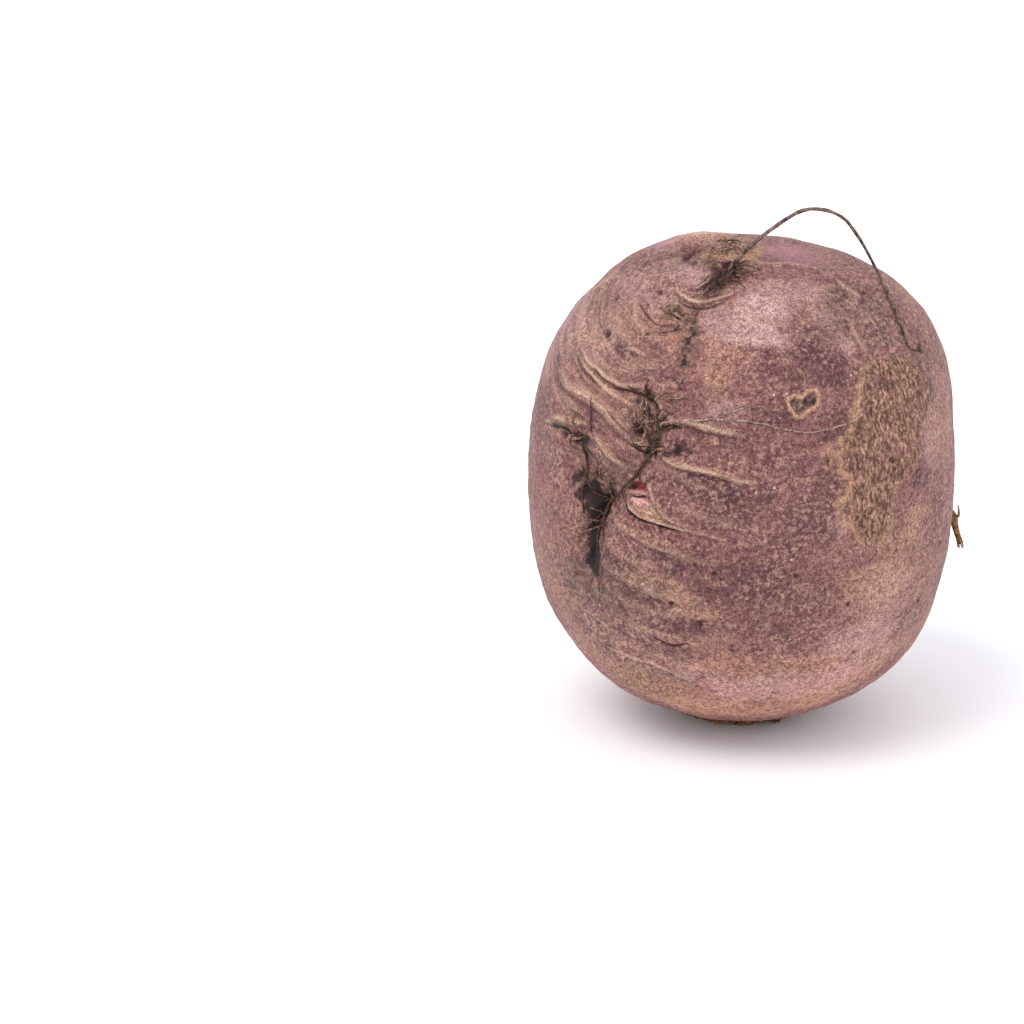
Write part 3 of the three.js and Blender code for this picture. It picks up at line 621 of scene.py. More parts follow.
    def grow_cork(self):
        """Corky patches: raised, pitted, with a pale broken rim that an open side doesn't have."""
        azimuth = np.degrees(np.arctan2(self.d[:, 0], -self.d[:, 1]))
        ragged = 0.8 * self.noise(2.6, 17) + 0.45 * self.noise(0.9, 18)
        broken = smooth(self.noise(3, 40), -0.8, 0.1)
        pits = smooth(cloud(self.p * (1, 1, 0.5), 0.8, 19, 2), 0.3, 0.7)
        lumps = 0.1 + 0.1 * self.noise(1, 20)
        worn = self.noise(4, 41) + 0.6 * self.noise(1.2, 42)
        for outline, strength, pitted, rim_ends in PATCHES:
            open_side = smooth(azimuth, rim_ends - 8, rim_ends + 8)
            depth = outline_depth(self.d, outline)
            depth = np.where(depth > -4, depth + ragged * pitted, depth)
            inside = smooth(depth, -0.2, 0.4)
            rim = bell((depth - 0.6) / 0.7) * broken * (1 - open_side)
            holes = inside * (1 - rim) * pits
            self.relief += inside * lumps + 0.16 * rim * strength - 0.2 * holes * pitted
            patchy = smooth(worn + 0.1 * np.minimum(depth, 3) - 0.45 * open_side, -1.15, -0.1)
            self.mark("cork", inside * strength * patchy)
            self.mark("rim", 0.8 * rim * strength)
            self.mark("dark", 0.55 * holes * patchy)

    def raise_ring_scab(self):
        """The ring-shaped scab: a thin pale rim round a sunken dark middle."""
        depth = outline_depth(self.d, RING_SCAB)
        depth = np.where(depth > -3, depth + 0.12 * self.noise(1, 43), depth)
        rim = bell((depth - 0.05) / 0.28)
        self.relief += 0.25 * rim - 0.15 * smooth(depth, 0.3, 0.7)
        self.relief += 0.1 * smooth(depth, 0, 0.5) * self.noise(0.8, 44)
        self.mark("rim", rim)
        self.mark("grey", smooth(depth, 0.2, 0.5))
        self.mark("soot", 0.6 * smooth(depth, 0.2, 0.6) * smooth(self.noise(0.9, 45), -0.2, 0.4))

    def tint_areas(self):
        """Lays the coloured areas, gathers soot and the painted shade that shares its mask into flecks, and
        marks the lowest skin, where the material paints light thrown up from the floor.
        """
        for name, areas in AREAS.items():
            for azimuth, elevation, wide, tall, strength, *turn in areas:
                self.mark(name, strength * self.blotch(azimuth, elevation, wide, tall, *turn))
        soot = self.masks["soot"]
        soot = self.masks["soot"] = smooth(soot + 0.5 * self.noise(1.3, 53) * (soot > 0.02), 0.3, 0.62)
        self.relief += 0.2 * soot * self.noise(1.2, 46) * (1 - self.masks["rim"])
        # the lowest skin, where the material paints light thrown up from the floor
        self.masks["low"] = 1 - smooth(self.p[:, 2] + 5 * self.noise(12, 24), 8, 44)
        for name in ("dirt", "soot"):
            self.masks[name] *= 1 - 0.75 * smooth(self.masks["welt"], 0.3, 0.8)

    def trim_crown(self):
        """Ends the skin in a short stub with rings of leaf scars and a torn skirt of leaf bases."""
        side, down = np.hypot(self.d[:, 0], self.d[:, 1]), np.maximum(-self.d[:, 2], 1e-6)
        turn = np.arctan2(self.d[:, 0], -self.d[:, 1])
        floor_radius, from_axis = HEART[2] / down, HEART[2] * side / down
        low = self.d[:, 2] < -0.8
        r = self.radius + self.relief * (1 - 0.7 * self.masks["facet"])
        stub_radius = CROWN_RADIUS + 0.45 * np.sin(7 * turn + 1) + 0.3 * np.sin(11 * turn)
        stub_radius += 0.25 * self.noise(2.5, 21)
        stub = low * (1 - smooth(from_axis, stub_radius - 0.4, stub_radius + 0.9))
        torn = SKIRT_RADIUS + 0.9 * np.sin(11 * turn + 1.5 * self.noise(7, 22)) + 0.7 * self.noise(2.2, 47)
        skirt = low * (1 - smooth(from_axis, torn - 0.5, torn + 0.4)) * smooth(from_axis, 7, 9)
        r += skirt * (1.05 + 0.25 * self.noise(1.6, 48))
        rings = 0.5 + 0.5 * np.cos(2.1 * from_axis + 0.8 * np.sin(3 * turn))
        stub_end = floor_radius - 0.12 * rings * smooth(from_axis, 6, 9)
        self.radius = np.where(low, np.minimum(r + stub * (stub_end - r), floor_radius), r)
        self.masks["crown"] = low * (1 - smooth(from_axis - torn + 0.8 * self.noise(3, 23), 0.0, 1.6))
        self.masks["ring"] = low * smooth(rings, 0.55, 0.95) * (from_axis < 11)

    def grow(self):
        """Adds every layer in its order and gives the radius and the masks with the lines. Cracks, dirt,
        and the soot with the painted shade in its mask, stay off the welts' pale crests."""
        self.lay_grain()
        self.raise_welts()
        self.raise_arcs()
        self.cut_cracks()
        self.press_pits()
        self.open_wound()
        self.redden_tip_crack()
        self.masks["dark"] *= 1 - 0.8 * self.masks["welt"]
        self.soil_seams()
        self.roughen_scars()
        self.grow_cork()
        self.raise_ring_scab()
        self.tint_areas()
        self.trim_crown()
        return self.radius, self.masks | self.lines


# Meshes
def geodesic(steps):
    """Directions and triangles of a ball split evenly from an icosahedron."""
    g = (1 + 5**0.5) / 2
    corners = np.array([(-1, g, 0), (1, g, 0), (-1, -g, 0), (1, -g, 0), (0, -1, g), (0, 1, g),
                        (0, -1, -g), (0, 1, -g), (g, 0, -1), (g, 0, 1), (-g, 0, -1), (-g, 0, 1)])
    sides = [(0, 11, 5), (0, 5, 1), (0, 1, 7), (0, 7, 10), (0, 10, 11), (1, 5, 9), (5, 11, 4), (11, 10, 2),
             (10, 7, 6), (7, 1, 8), (3, 9, 4), (3, 4, 2), (3, 2, 6), (3, 6, 8), (3, 8, 9), (4, 9, 5),
             (2, 4, 11), (6, 2, 10), (8, 6, 7), (9, 8, 1)]
    rows = [(i, j) for i in range(steps + 1) for j in range(steps + 1 - i)]
    number = {place: k for k, place in enumerate(rows)}
    weights = np.array([(steps - i - j, i, j) for i, j in rows]) / steps
    small = []
    for i, j in rows:
        if i + j < steps:
            small.append((number[i, j], number[i + 1, j], number[i, j + 1]))
        if i + j < steps - 1:
            small.append((number[i + 1, j], number[i + 1, j + 1], number[i, j + 1]))
    small = np.array(small)
    points = unit(np.vstack([weights @ corners[list(side)] for side in sides]))
    faces = np.vstack([small + k * len(rows) for k in range(len(sides))])
    _, first, back = np.unique(np.round(points, 6), axis=0, return_index=True, return_inverse=True)
    return points[first], back.reshape(-1)[faces]


def put_in_scene(obj):
    bpy.context.scene.collection.objects.link(obj)
    return obj


def mesh_object(name, points_mm, faces, material, attributes=None):
    mesh = bpy.data.meshes.new(name)
    mesh.from_pydata((np.asarray(points_mm) * MM).tolist(), [], np.asarray(faces).tolist())
    for key, values in (attributes or {}).items():
        mesh.attributes.new(key, "FLOAT", "POINT").data.foreach_set("value", np.asarray(values, np.float32))
    mesh.shade_smooth()
    mesh.materials.append(material)
    return put_in_scene(bpy.data.objects.new(name, mesh))


# Node trees
def colour(red, green, blue):
    """A colour as a screen shows it, 0 to 255, as the linear value that a node takes."""
    linear = [((c / 255 + 0.055) / 1.055) ** 2.4 if c > 10 else c / 255 / 12.92 for c in (red, green, blue)]
    return (*linear, 1.0)


class Nodes:
    """Adds nodes to a tree. An input is given a socket or a value."""

    def __init__(self, tree):
        self.tree = tree

    def node(self, kind, inputs=None, **settings):
        new = self.tree.nodes.new(kind)
        for key, value in settings.items():
            setattr(new, key, value)
        for key, value in (inputs or {}).items():
            self.feed(value, new.inputs[key])
        return new

    def feed(self, value, socket):
        if isinstance(value, bpy.types.NodeSocket):
            self.tree.links.new(value, socket)
        else:
            socket.default_value = value

    def maths(self, operation, a, b=0.0, clamp=False):
        return self.node("ShaderNodeMath", {0: a, 1: b}, operation=operation, use_clamp=clamp).outputs[0]

    def plus(self, a, b, clamp=False):
        return self.maths("ADD", a, b, clamp)

    def minus(self, a, b, clamp=False):
        return self.maths("SUBTRACT", a, b, clamp)

    def times(self, a, b):
        return self.maths("MULTIPLY", a, b)

    def most(self, a, b):
        return self.maths("MAXIMUM", a, b)

    def vector(self, operation, a, inputs):
        return self.node("ShaderNodeVectorMath", {0: a, **inputs}, operation=operation)

    def scaled(self, a, factor):
        return self.vector("SCALE", a, {"Scale": factor}).outputs[0]

    def ranged(self, value, low, high, to_low=0.0, to_high=1.0):
        inputs = {"Value": value, "From Min": low, "From Max": high, "To Min": to_low, "To Max": to_high}
        return self.node("ShaderNodeMapRange", inputs, interpolation_type="SMOOTHSTEP").outputs[0]

    def blend(self, share, under, over, mode="MIX"):
        settings = {"data_type": "RGBA", "blend_type": mode, "clamp_factor": True}
        return self.node("ShaderNodeMix", {0: share, 6: under, 7: over}, **settings).outputs[2]

    def attribute(self, name):
        return self.node("ShaderNodeAttribute", attribute_name=name, attribute_type="GEOMETRY").outputs["Fac"]

    def noise(self, place, scale, detail, **settings):
        inputs = {"Vector": place, "Scale": scale, "Detail": detail}
        return self.node("ShaderNodeTexNoise", inputs, **settings)

    def place(self, stretch=(1, 1, 1)):
        place = self.node("ShaderNodeTexCoord").outputs["Object"]
        return self.node("ShaderNodeMapping", {"Vector": place, "Scale": stretch}).outputs[0]

    def contrasted(self, value, contrast):
        """A noise value spread out round its middle, from 0 to 1."""
        return self.plus(self.times(self.minus(value, 0.5), self.times(contrast, 2.2)), 0.5, clamp=True)

    def per_mm(self, size_mm):
        """How often a pattern of this size in mm repeats in a metre."""
        return self.maths("DIVIDE", 1000.0, size_mm)

    def use(self, group, inputs):
        new = self.tree.nodes.new("ShaderNodeGroup")
        new.node_tree = group
        for key, value in inputs.items():
            self.feed(value, new.inputs[key])
        return new.outputs[0]

    def mottle(self, place, size, contrast=1.0, detail=4.0):
        return self.use(MOTTLE, {"Place": place, "Size mm": size, "Contrast": contrast, "Detail": detail})

    def specks(self, place, spacing, radius, share):
        return self.use(SPECKS, {"Place": place, "Spacing mm": spacing, "Radius": radius, "Share": share})

    def grain(self, place, size):
        return self.use(GRAIN, {"Place": place, "Size mm": size})

    def streaks(self, place, level, length, width, contrast=1.0):
        return self.use(STREAKS, {"Place": place, "Level": level, "Length mm": length, "Width mm": width,
                                  "Contrast": contrast})


def new_group(name, kind, inputs, output, value=0.0):
    """A node group with named inputs and one named output. A value's type gives its socket's kind, and
    None makes a socket of the kind that its name says. Returns its nodes, input sockets and output."""
    kinds = {float: "NodeSocketFloat", int: "NodeSocketInt", str: "NodeSocketString",
             tuple: "NodeSocketVector"}
    tree = bpy.data.node_groups.new(name, kind)
    for label, start in inputs.items():
        socket_type = "NodeSocket" + label if start is None else kinds[type(start)]
        socket = tree.interface.new_socket(name=label, in_out="INPUT", socket_type=socket_type)
        if start is not None:
            socket.default_value = start
    socket_type = "NodeSocket" + output if value is None else kinds[type(value)]
    tree.interface.new_socket(name=output, in_out="OUTPUT", socket_type=socket_type)
    return Nodes(tree), tree.nodes.new("NodeGroupInput").outputs, tree.nodes.new("NodeGroupOutput").inputs[0]


ORIGIN = (0.0, 0.0, 0.0)


def mottle_group():
    """Blotches of one size, from 0 to 1, with their contrast."""
    inputs = {"Place": ORIGIN, "Size mm": 5.0, "Contrast": 1.0, "Detail": 4.0}
    n, start, end = new_group("mottle", "ShaderNodeTree", inputs, "Value")
    noise = n.noise(start["Place"], n.per_mm(start["Size mm"]), start["Detail"], normalize=True)
    noise.inputs["Roughness"].default_value = 0.6
    n.feed(n.contrasted(noise.outputs["Fac"], start["Contrast"]), end)
    return n.tree


def specks_group():
    """Round specks strewn thinly over a surface: 1 on a speck, 0 between them."""
    inputs = {"Place": ORIGIN, "Spacing mm": 2.0, "Radius": 0.12, "Share": 0.3}
    n, start, end = new_group("specks", "ShaderNodeTree", inputs, "Value")
    inputs = {"Vector": start["Place"], "Scale": n.per_mm(start["Spacing mm"])}
    cells = n.node("ShaderNodeTexVoronoi", inputs).outputs
    pick = n.node("ShaderNodeSeparateColor", {0: cells["Color"]}).outputs[0]
    chosen = n.maths("LESS_THAN", pick, start["Share"])
    near = n.ranged(cells["Distance"], start["Radius"], n.times(start["Radius"], 0.6))
    n.feed(n.times(chosen, near), end)
    return n.tree


def grain_group():
    """The fine pebbly grain of a root's skin, as a height from 0 to 1."""
    inputs = {"Place": ORIGIN, "Size mm": 0.6}
    n, start, end = new_group("root_grain", "ShaderNodeTree", inputs, "Height")
    scale = n.per_mm(start["Size mm"])
    inputs = {"Vector": start["Place"], "Scale": scale}
    cells = n.node("ShaderNodeTexVoronoi", inputs, feature="SMOOTH_F1").outputs["Distance"]
    noise = n.noise(start["Place"], scale, 3.0).outputs["Fac"]
    n.feed(n.plus(n.times(cells, 0.6), n.times(noise, 0.6)), end)
    return n.tree


def streak_group():
    """Long thin streaks that follow lines of equal level (a distance in metres), from 0 to 1."""
    inputs = {"Place": ORIGIN, "Level": 0.0, "Length mm": 8.0, "Width mm": 0.6, "Contrast": 1.0}
    n, start, end = new_group("streaks", "ShaderNodeTree", inputs, "Value")
    place = n.scaled(start["Place"], n.per_mm(start["Length mm"]))
    level = n.times(n.maths("DIVIDE", start["Level"], start["Width mm"]), 1000.0)
    noise = n.noise(place, 1.0, 3.0, noise_dimensions="4D")
    n.feed(level, noise.inputs["W"])
    n.feed(n.contrasted(noise.outputs["Fac"], start["Contrast"]), end)
    return n.tree


MOTTLE, SPECKS, GRAIN, STREAKS = mottle_group(), specks_group(), grain_group(), streak_group()


def new_material(name):
    material = bpy.data.materials.new(name)
    material.use_nodes = True
    return material, material.node_tree.nodes["Principled BSDF"].inputs, Nodes(material.node_tree)


def bumped(n, shader, height, distance_mm):
    bump = n.node("ShaderNodeBump", {"Strength": 1.0, "Distance": distance_mm * MM, "Height": height})
    n.feed(bump.outputs[0], shader["Normal"])


# The skin's tones, as a screen shows them
TONES = {
    "skin": (150, 101, 95), "shade": (115, 68, 70), "warm": (154, 109, 101), "tan": (190, 147, 118),
    # the pale pink tone also paints the highlight on the top
    "bloom": (212, 170, 163), "wine": (84, 43, 54), "facet": (138, 80, 91), "dark earth": (76, 54, 50),
    "pale earth": (150, 116, 104), "scurf": (186, 142, 120), "dark streak": (92, 52, 56),
    "pale grain": (190, 146, 124), "fleck": (208, 164, 146), "cork pit": (94, 55, 43),
    "cork": (210, 160, 132), "rim": (214, 165, 128), "welt": (178, 130, 106), "welt fibre": (232, 190, 160),
    # crest: a painted highlight along the welts; edge: a crack with painted shade below a welt's steep side
    "crest": (244, 208, 178), "edge": (84, 42, 40), "wet soil": (46, 30, 27), "dry soil": (176, 134, 110),
    "leaf scar": (44, 30, 22),
    "dark crown": (62, 40, 26), "pale crown": (140, 100, 66), "blood": (104, 16, 32),
    "thin blood": (156, 58, 66), "flesh": (240, 196, 186), "pink flesh": (214, 138, 130),
    # the near-black tones paint soil, and the shade in the hollow low on the left
    "soot": (16, 10, 10), "pale soot": (62, 46, 42), "crack": (24, 14, 13), "white speck": (246, 224, 212),
    "black speck": (44, 28, 30),
}
TONES = {name: colour(*shown) for name, shown in TONES.items()}
WINE_DARK = (0.5, 0.3, 0.34, 1.0)


class Coat:
    """A surface's colour, laid on in layers; a layer is a tone's name or a colour socket."""

    def __init__(self, nodes, tone):
        self.nodes = nodes
        self.tone = tone

    def mix(self, share, one, other):
        return self.nodes.blend(share, TONES[one], TONES[other])

    def lay(self, share, tone, mode="MIX"):
        self.tone = self.nodes.blend(share, self.tone, TONES[tone] if isinstance(tone, str) else tone, mode)


def skin_material():
    material, shader, n = new_material("beet_skin")
    times, plus, minus, most, ranged = n.times, n.plus, n.minus, n.most, n.ranged
    place, upright = n.place(), n.place((1, 1, 0.5))
    mask = {name: n.attribute(name) for name in MASKS}
    line = {name: n.attribute(name) for name in LINES}

    # clouds from broad to fine, then streaks: level on the body, in arcs round the tip on the left lobe
    broad = n.mottle(place, 11, 1.2)
    middle = n.mottle(place, 3.5, 1.5)
    small = n.mottle(place, 1.3, 1.7)
    fleck = n.mottle(place, 0.8, 2.2, 6.0)
    corky = n.mottle(upright, 0.6, 2.3, 5.0)
    fine = n.mottle(place, 0.34, 1.9, 6.0)
    zones = ranged(n.mottle(place, 14, 2.2, 3.0), 0.2, 0.8, 0.35, 1.0)
    fold_distance = n.vector("DISTANCE", place, {1: tuple(FOLD_CENTRE * MM)}).outputs["Value"]
    height = n.node("ShaderNodeSeparateXYZ", {0: place}).outputs[2]
    streaks = {0: mask["lobe"], 2: n.streaks(place, height, 5, 0.9, 0.75),
               3: n.streaks(place, fold_distance, 9, 0.9, 2.1)}
    streak = n.node("ShaderNodeMix", streaks, data_type="FLOAT").outputs[0]

    coat = Coat(n, n.blend(broad, TONES["skin"], TONES["shade"]))
    coat.lay(times(middle, 0.5), "warm")
    # tan scurf, which low on the body also paints light from the floor
    coat.lay(times(mask["tan"], ranged(small, 0.1, 0.7, 0.35, 0.95)), "tan")
    # pale pink skin, with a painted highlight on the top
    coat.lay(times(mask["pink"], ranged(small, 0.0, 0.6, 0.5, 0.95)), "bloom")
    coat.lay(times(mask["deep"], ranged(middle, 0.1, 0.6, 0.5, 1.0)), "wine")
    coat.lay(mask["facet"], "facet")
    # earthy grey-brown, and low on the left a painted shadow
    earth_and_shade = coat.mix(n.mottle(upright, 2.0, 1.8), "dark earth", "pale earth")
    coat.lay(times(mask["grey"], ranged(middle, 0.1, 0.6, 0.4, 0.95)), earth_and_shade)

    # scurf in streaks, darker streaks between them, then the grain
    coat.lay(ranged(streak, 0.58, 0.95, 0.0, 0.55), "scurf")
    coat.lay(ranged(streak, 0.42, 0.1, 0.0, 0.5), "dark streak")
    coat.lay(ranged(small, 0.66, 0.97, 0.0, 0.5), "pale grain")
    plainly = minus(1.0, times(mask["facet"], 0.8))
    evenly = times(minus(1.0, times(most(mask["lobe"], mask["pink"]), 0.4)), plainly)
    dark_grain = times(ranged(fine, 0.5, 0.12), times(ranged(middle, 0.15, 0.7, 1.0, 0.6), evenly))
    coat.lay(times(dark_grain, 0.55), WINE_DARK, "MULTIPLY")
    coat.lay(times(ranged(fleck, 0.42, 0.08), times(evenly, 0.7)), WINE_DARK, "MULTIPLY")
    coat.lay(times(ranged(fleck, 0.62, 0.95), times(times(evenly, zones), 0.36)), "fleck")

    # cork with its holes and pale rim
    cork = times(mask["cork"], ranged(small, 0.0, 0.6, 0.55, 0.95))
    coat.lay(cork, coat.mix(corky, "cork pit", "cork"))
    coat.lay(times(mask["rim"], ranged(small, 0.1, 0.6, 0.6, 1.0)), "rim")

    # welts made of fibres that run along them, with a painted highlight along the crest and a dark edge: a
    # crack with painted shade below the steep side
    lie = {0: n.maths("DIVIDE", line["across"], 0.3), 1: n.maths("DIVIDE", line["run"], 4.0)}
    lie = n.node("ShaderNodeCombineXYZ", lie).outputs[0]
    fibre = ranged(n.noise(lie, 1.0, 2.0).outputs["Fac"], 0.33, 0.67)
    off = {name: n.maths("ABSOLUTE", line[name]) for name in ("across", "edge", "cut")}
    # the crest tone is a painted highlight along each welt's top
    crest = ranged(off["across"], 0.5, 0.1)
    pale = n.blend(times(crest, 0.7), coat.mix(fibre, "welt", "welt fibre"), TONES["crest"])
    coat.lay(mask["welt"], pale)
    edge = times(ranged(off["edge"], 0.34, 0.05), line["edged"])
    cut = times(ranged(off["cut"], 0.6, 0.2), line["cut_deep"])
    # the dark edge: a crack, and painted shade below the welt's steep side
    coat.lay(times(edge, 0.8), "edge")

    # dirt, crown, wound, soot and cracks
    coat.lay(times(mask["dirt"], 0.85), coat.mix(small, "wet soil", "dry soil"))
    crown = coat.mix(n.mottle(place, 2.2, 1.8), "dark crown", "pale crown")
    crown = n.blend(times(mask["ring"], 0.6), crown, TONES["leaf scar"])
    coat.lay(times(mask["crown"], 0.95), crown)
    coat.lay(times(mask["blood"], 0.9), coat.mix(small, "blood", "thin blood"))
    coat.lay(mask["flesh"], coat.mix(small, "flesh", "pink flesh"))
    # soot, and the painted shade in the hollow low on the left
    coat.lay(times(mask["soot"], 0.95), coat.mix(small, "soot", "pale soot"))
    coat.lay(times(most(mask["dark"], cut), 0.92), "crack")

    # painted light thrown up from the floor makes the skin lighter near it; then lighter and darker from
    # grain to grain, then single specks
    swing = times(minus(fine, 0.5), plainly)
    painted_floor_light = times(times(mask["low"], mask["low"]), 0.34)
    coat.tone = n.scaled(coat.tone, plus(times(swing, 0.8), plus(painted_floor_light, 1.0)))
    white = n.specks(place, 3.6, 0.075, 0.16)
    coat.lay(times(white, 0.85), "white speck")
    coat.lay(times(n.specks(n.place((1, 1, 1.6)), 4.2, 0.08, 0.3), 0.7), "black speck")
    n.feed(coat.tone, shader["Base Color"])

    rough = plus(ranged(small, 0.0, 1.0, 0.5, 0.66), times(mask["cork"], 0.2))
    rough = plus(rough, times(most(mask["dirt"], mask["soot"]), 0.25))
    n.feed(minus(rough, times(mask["facet"], 0.16), clamp=True), shader["Roughness"])

    lift = times(plus(times(n.grain(place, 0.5), 0.5), times(fine, 0.6)), plainly)
    lift = plus(lift, times(streak, 0.7))
    for rise, share in ((corky, times(mask["cork"], 1.8)), (fibre, times(mask["welt"], 1.6)),
                        (small, times(mask["dirt"], 1.6))):
        lift = plus(lift, times(rise, share))
    lift = minus(plus(lift, white), times(most(cut, edge), 1.2))
    bumped(n, shader, lift, 0.24)
    shader["Specular IOR Level"].default_value = 0.4
    return material


def root_material(name, dark, light, streak_mm):
    """Dry root or fibre: dark with paler streaks and a rough, lined surface."""
    material, shader, n = new_material(name)
    place = n.place()
    streaks = n.mottle(place, streak_mm, 1.8, 5.0)
    fine = n.mottle(place, 0.35, 1.6)
    tone = n.blend(streaks, colour(*dark), colour(*light))
    tone = n.blend(n.times(n.ranged(fine, 0.45, 0.15), 0.7), tone, colour(26, 20, 18))
    n.feed(tone, shader["Base Color"])
    n.feed(n.ranged(fine, 0.0, 1.0, 0.55, 0.8), shader["Roughness"])
    bumped(n, shader, n.plus(n.grain(place, 0.3), streaks), 0.06)
    shader["Specular IOR Level"].default_value = 0.25
    return material


def grit_material(name, one, other):
    material, shader, n = new_material(name)
    place = n.place()
    n.feed(n.blend(n.mottle(place, 1.5, 1.8), colour(*one), colour(*other)), shader["Base Color"])
    shader["Roughness"].default_value = 0.8
    bumped(n, shader, n.grain(place, 0.15), 0.03)
    return material


def floor_material():
    material, shader, n = new_material("studio_floor")
    tone = n.blend(n.mottle(n.place(), 300, 0.4), colour(250, 250, 250), colour(246, 246, 247))
    n.feed(tone, shader["Base Color"])
    shader["Roughness"].default_value = 0.6
    shader["Specular IOR Level"].default_value = 0.2
    return material


SKIN = skin_material()
WIRY = root_material("wiry_root", (58, 44, 40), (138, 112, 98), 1.2)
FIBRE = root_material("dark_fibre", (28, 18, 16), (104, 74, 60), 0.8)
THREAD = root_material("pale_thread", (120, 98, 88), (206, 184, 170), 1.2)
SCRAP = root_material("torn_skin", (104, 74, 58), (196, 156, 126), 0.8)
STUMP = root_material("broken_stump", (92, 60, 36), (176, 122, 72), 0.9)
GRIT = grit_material("pale_grit", (238, 224, 210), (190, 160, 140))
SOIL = grit_material("dry_soil", (58, 46, 38), (128, 106, 84))
FLOOR = floor_material()


# The skin's fine mesh, its triangles crowded towards the wrinkled side
SKIN_STEPS = 99
CROWDED_TOWARDS = direction(-16, 24)
CROWDING = 0.36


def build_skin():
    d, faces = geodesic(SKIN_STEPS)
    d = unit(d + CROWDING * CROWDED_TOWARDS)
    r, masks = Skin(d).grow()
    points = HEART + d * r[:, None]
    points[:, 2] = np.maximum(points[:, 2], 0.0)
    masks["soil"] = np.clip(masks["dirt"] - masks["dark"], 0, 1)
    tree = BVHTree.FromPolygons(points.tolist(), faces.tolist())
    return mesh_object("skin", points, faces, SKIN, masks), tree


skin_piece, skin_tree = build_skin()


def on_skin(along, count):
    """Points along a course on the skin, in mm."""
    lifts = np.array([place[2] if len(place) > 2 else 0.0 for place in along])
    d = unit(catmull([direction(*place[:2]) for place in along], count))
    lift = np.interp(np.linspace(0, len(along) - 1, count), np.arange(len(along)), lifts)
    r = np.array([skin_tree.ray_cast(Vector(HEART), Vector(way))[3] for way in d])
    return HEART + d * (r + lift)[:, None]


# Roots, fibres and threads: one geometry tree turns drawn lines into tapering, slightly bent tubes
def finish_tree(n, start, end, geometry):
    smooth_shade = n.node("GeometryNodeSetShadeSmooth", {"Geometry": geometry, "Shade Smooth": True})
    real = n.node("GeometryNodeRealizeInstances", {"Geometry": smooth_shade.outputs[0]})
    inputs = {"Geometry": real.outputs[0], "Material": start["Material"]}
    n.feed(n.node("GeometryNodeSetMaterial", inputs).outputs[0], end)
    return n.tree


def root_tree():
    inputs = {"Geometry": None, "Sides": 8, "Knottiness mm": 0.08, "Knot spacing mm": 2.0, "Seed": 1,
              "Material": None}
    n, start, end = new_group("root_tubes", "GeometryNodeTree", inputs, "Geometry", None)
    place = n.node("GeometryNodeInputPosition").outputs[0]
    noise = n.noise(place, n.per_mm(start["Knot spacing mm"]), 2.0, noise_dimensions="4D")
    n.feed(start["Seed"], noise.inputs["W"])
    centred = n.vector("SUBTRACT", noise.outputs["Color"], {1: (0.5, 0.5, 0.5)}).outputs[0]
    offset = n.scaled(centred, n.times(start["Knottiness mm"], 2 * MM))
    bent = n.node("GeometryNodeSetPosition", {"Geometry": start["Geometry"], "Offset": offset})
    thick = n.node("GeometryNodeInputRadius").outputs[0]
    swell = n.ranged(noise.outputs["Fac"], 0.3, 0.7, 0.85, 1.2)
    ring = n.node("GeometryNodeCurvePrimitiveCircle", {"Resolution": start["Sides"], "Radius": 1.0})
    tube = n.node("GeometryNodeCurveToMesh", {"Curve": bent.outputs[0], "Profile Curve": ring.outputs[0],
                  "Scale": n.times(thick, swell), "Fill Caps": True})
    return finish_tree(n, start, end, tube.outputs[0])


def through_tree(name, data, tree, inputs):
    """Runs data through a geometry tree, whose inputs are set by identifier, and gives a plain mesh
    piece. What it was drawn from goes, and the modifier with it."""
    source = put_in_scene(bpy.data.objects.new(name + "_source", data))
    modifier = source.modifiers.new(tree.name, "NODES")
    modifier.node_group = tree
    sockets = {s.name: s.identifier for s in tree.interface.items_tree if s.in_out == "INPUT"}
    for label, value in inputs.items():
        modifier[sockets[label]] = value
    graph = bpy.context.evaluated_depsgraph_get()
    mesh = bpy.data.meshes.new_from_object(source.evaluated_get(graph))
    bpy.data.objects.remove(source)
    mesh.name = name
    return put_in_scene(bpy.data.objects.new(name, mesh))


ROOT_TREE = root_tree()


def roots(name, lines, material, sides=8, knottiness=0.08, spacing=2.0, seed=1):
    """lines: (points in mm, thickness at the start, thickness at the end) for each root."""
    curve = bpy.data.curves.new(name + "_lines", "CURVE")
    curve.dimensions = "3D"
    for points, thick, tip in lines:
        spline = curve.splines.new("POLY")
        spline.points.add(len(points) - 1)
        radius = np.linspace(thick, tip, len(points)) / 2 * MM
        places = np.c_[np.asarray(points) * MM, np.ones(len(points))]
        spline.points.foreach_set("co", places.astype(np.float32).ravel())
        spline.points.foreach_set("radius", radius.astype(np.float32))
    return through_tree(name, curve, ROOT_TREE, {
        "Sides": sides, "Knottiness mm": knottiness, "Knot spacing mm": spacing, "Seed": seed,
        "Material": material})


def laid(table, points_each):
    """The roots of a table of (course, thickness, thickness at the tip), laid on the skin."""
    return [(on_skin(along, points_each * len(along)), thick, tip) for along, thick, tip in table]


random = np.random.default_rng(41)
pieces = [skin_piece]

# The long wiry root, the same places as in the part's source
LONG_ROOT_FREE = [(-4.2, -10.8, 90.5), (-2, -10.6, 93.6), (1, -9.4, 96.3), (5.5, -7.8, 99.4),
                  (9.5, -6.6, 101.5), (12.4, -6.2, 101.9), (15.4, -6.1, 101.3), (18, -6, 99.8),
                  (20, -6, 97.2), (21.8, -6.2, 94.4)]
LONG_ROOT_LANDING = [(76, 59, 0.9), (70, 55.5, 0.4), (65, 51.5, 0.4), (61.5, 47, 0.4), (62.5, 43, -0.5)]
landing = np.vstack([on_skin([place, place], 2)[:1] for place in LONG_ROOT_LANDING])
long_root = catmull(np.vstack([LONG_ROOT_FREE, landing]), 120)
pieces.append(roots("long_root", [(long_root, 0.85, 0.45)], WIRY, 12, 0.14, 2.6, seed=3))

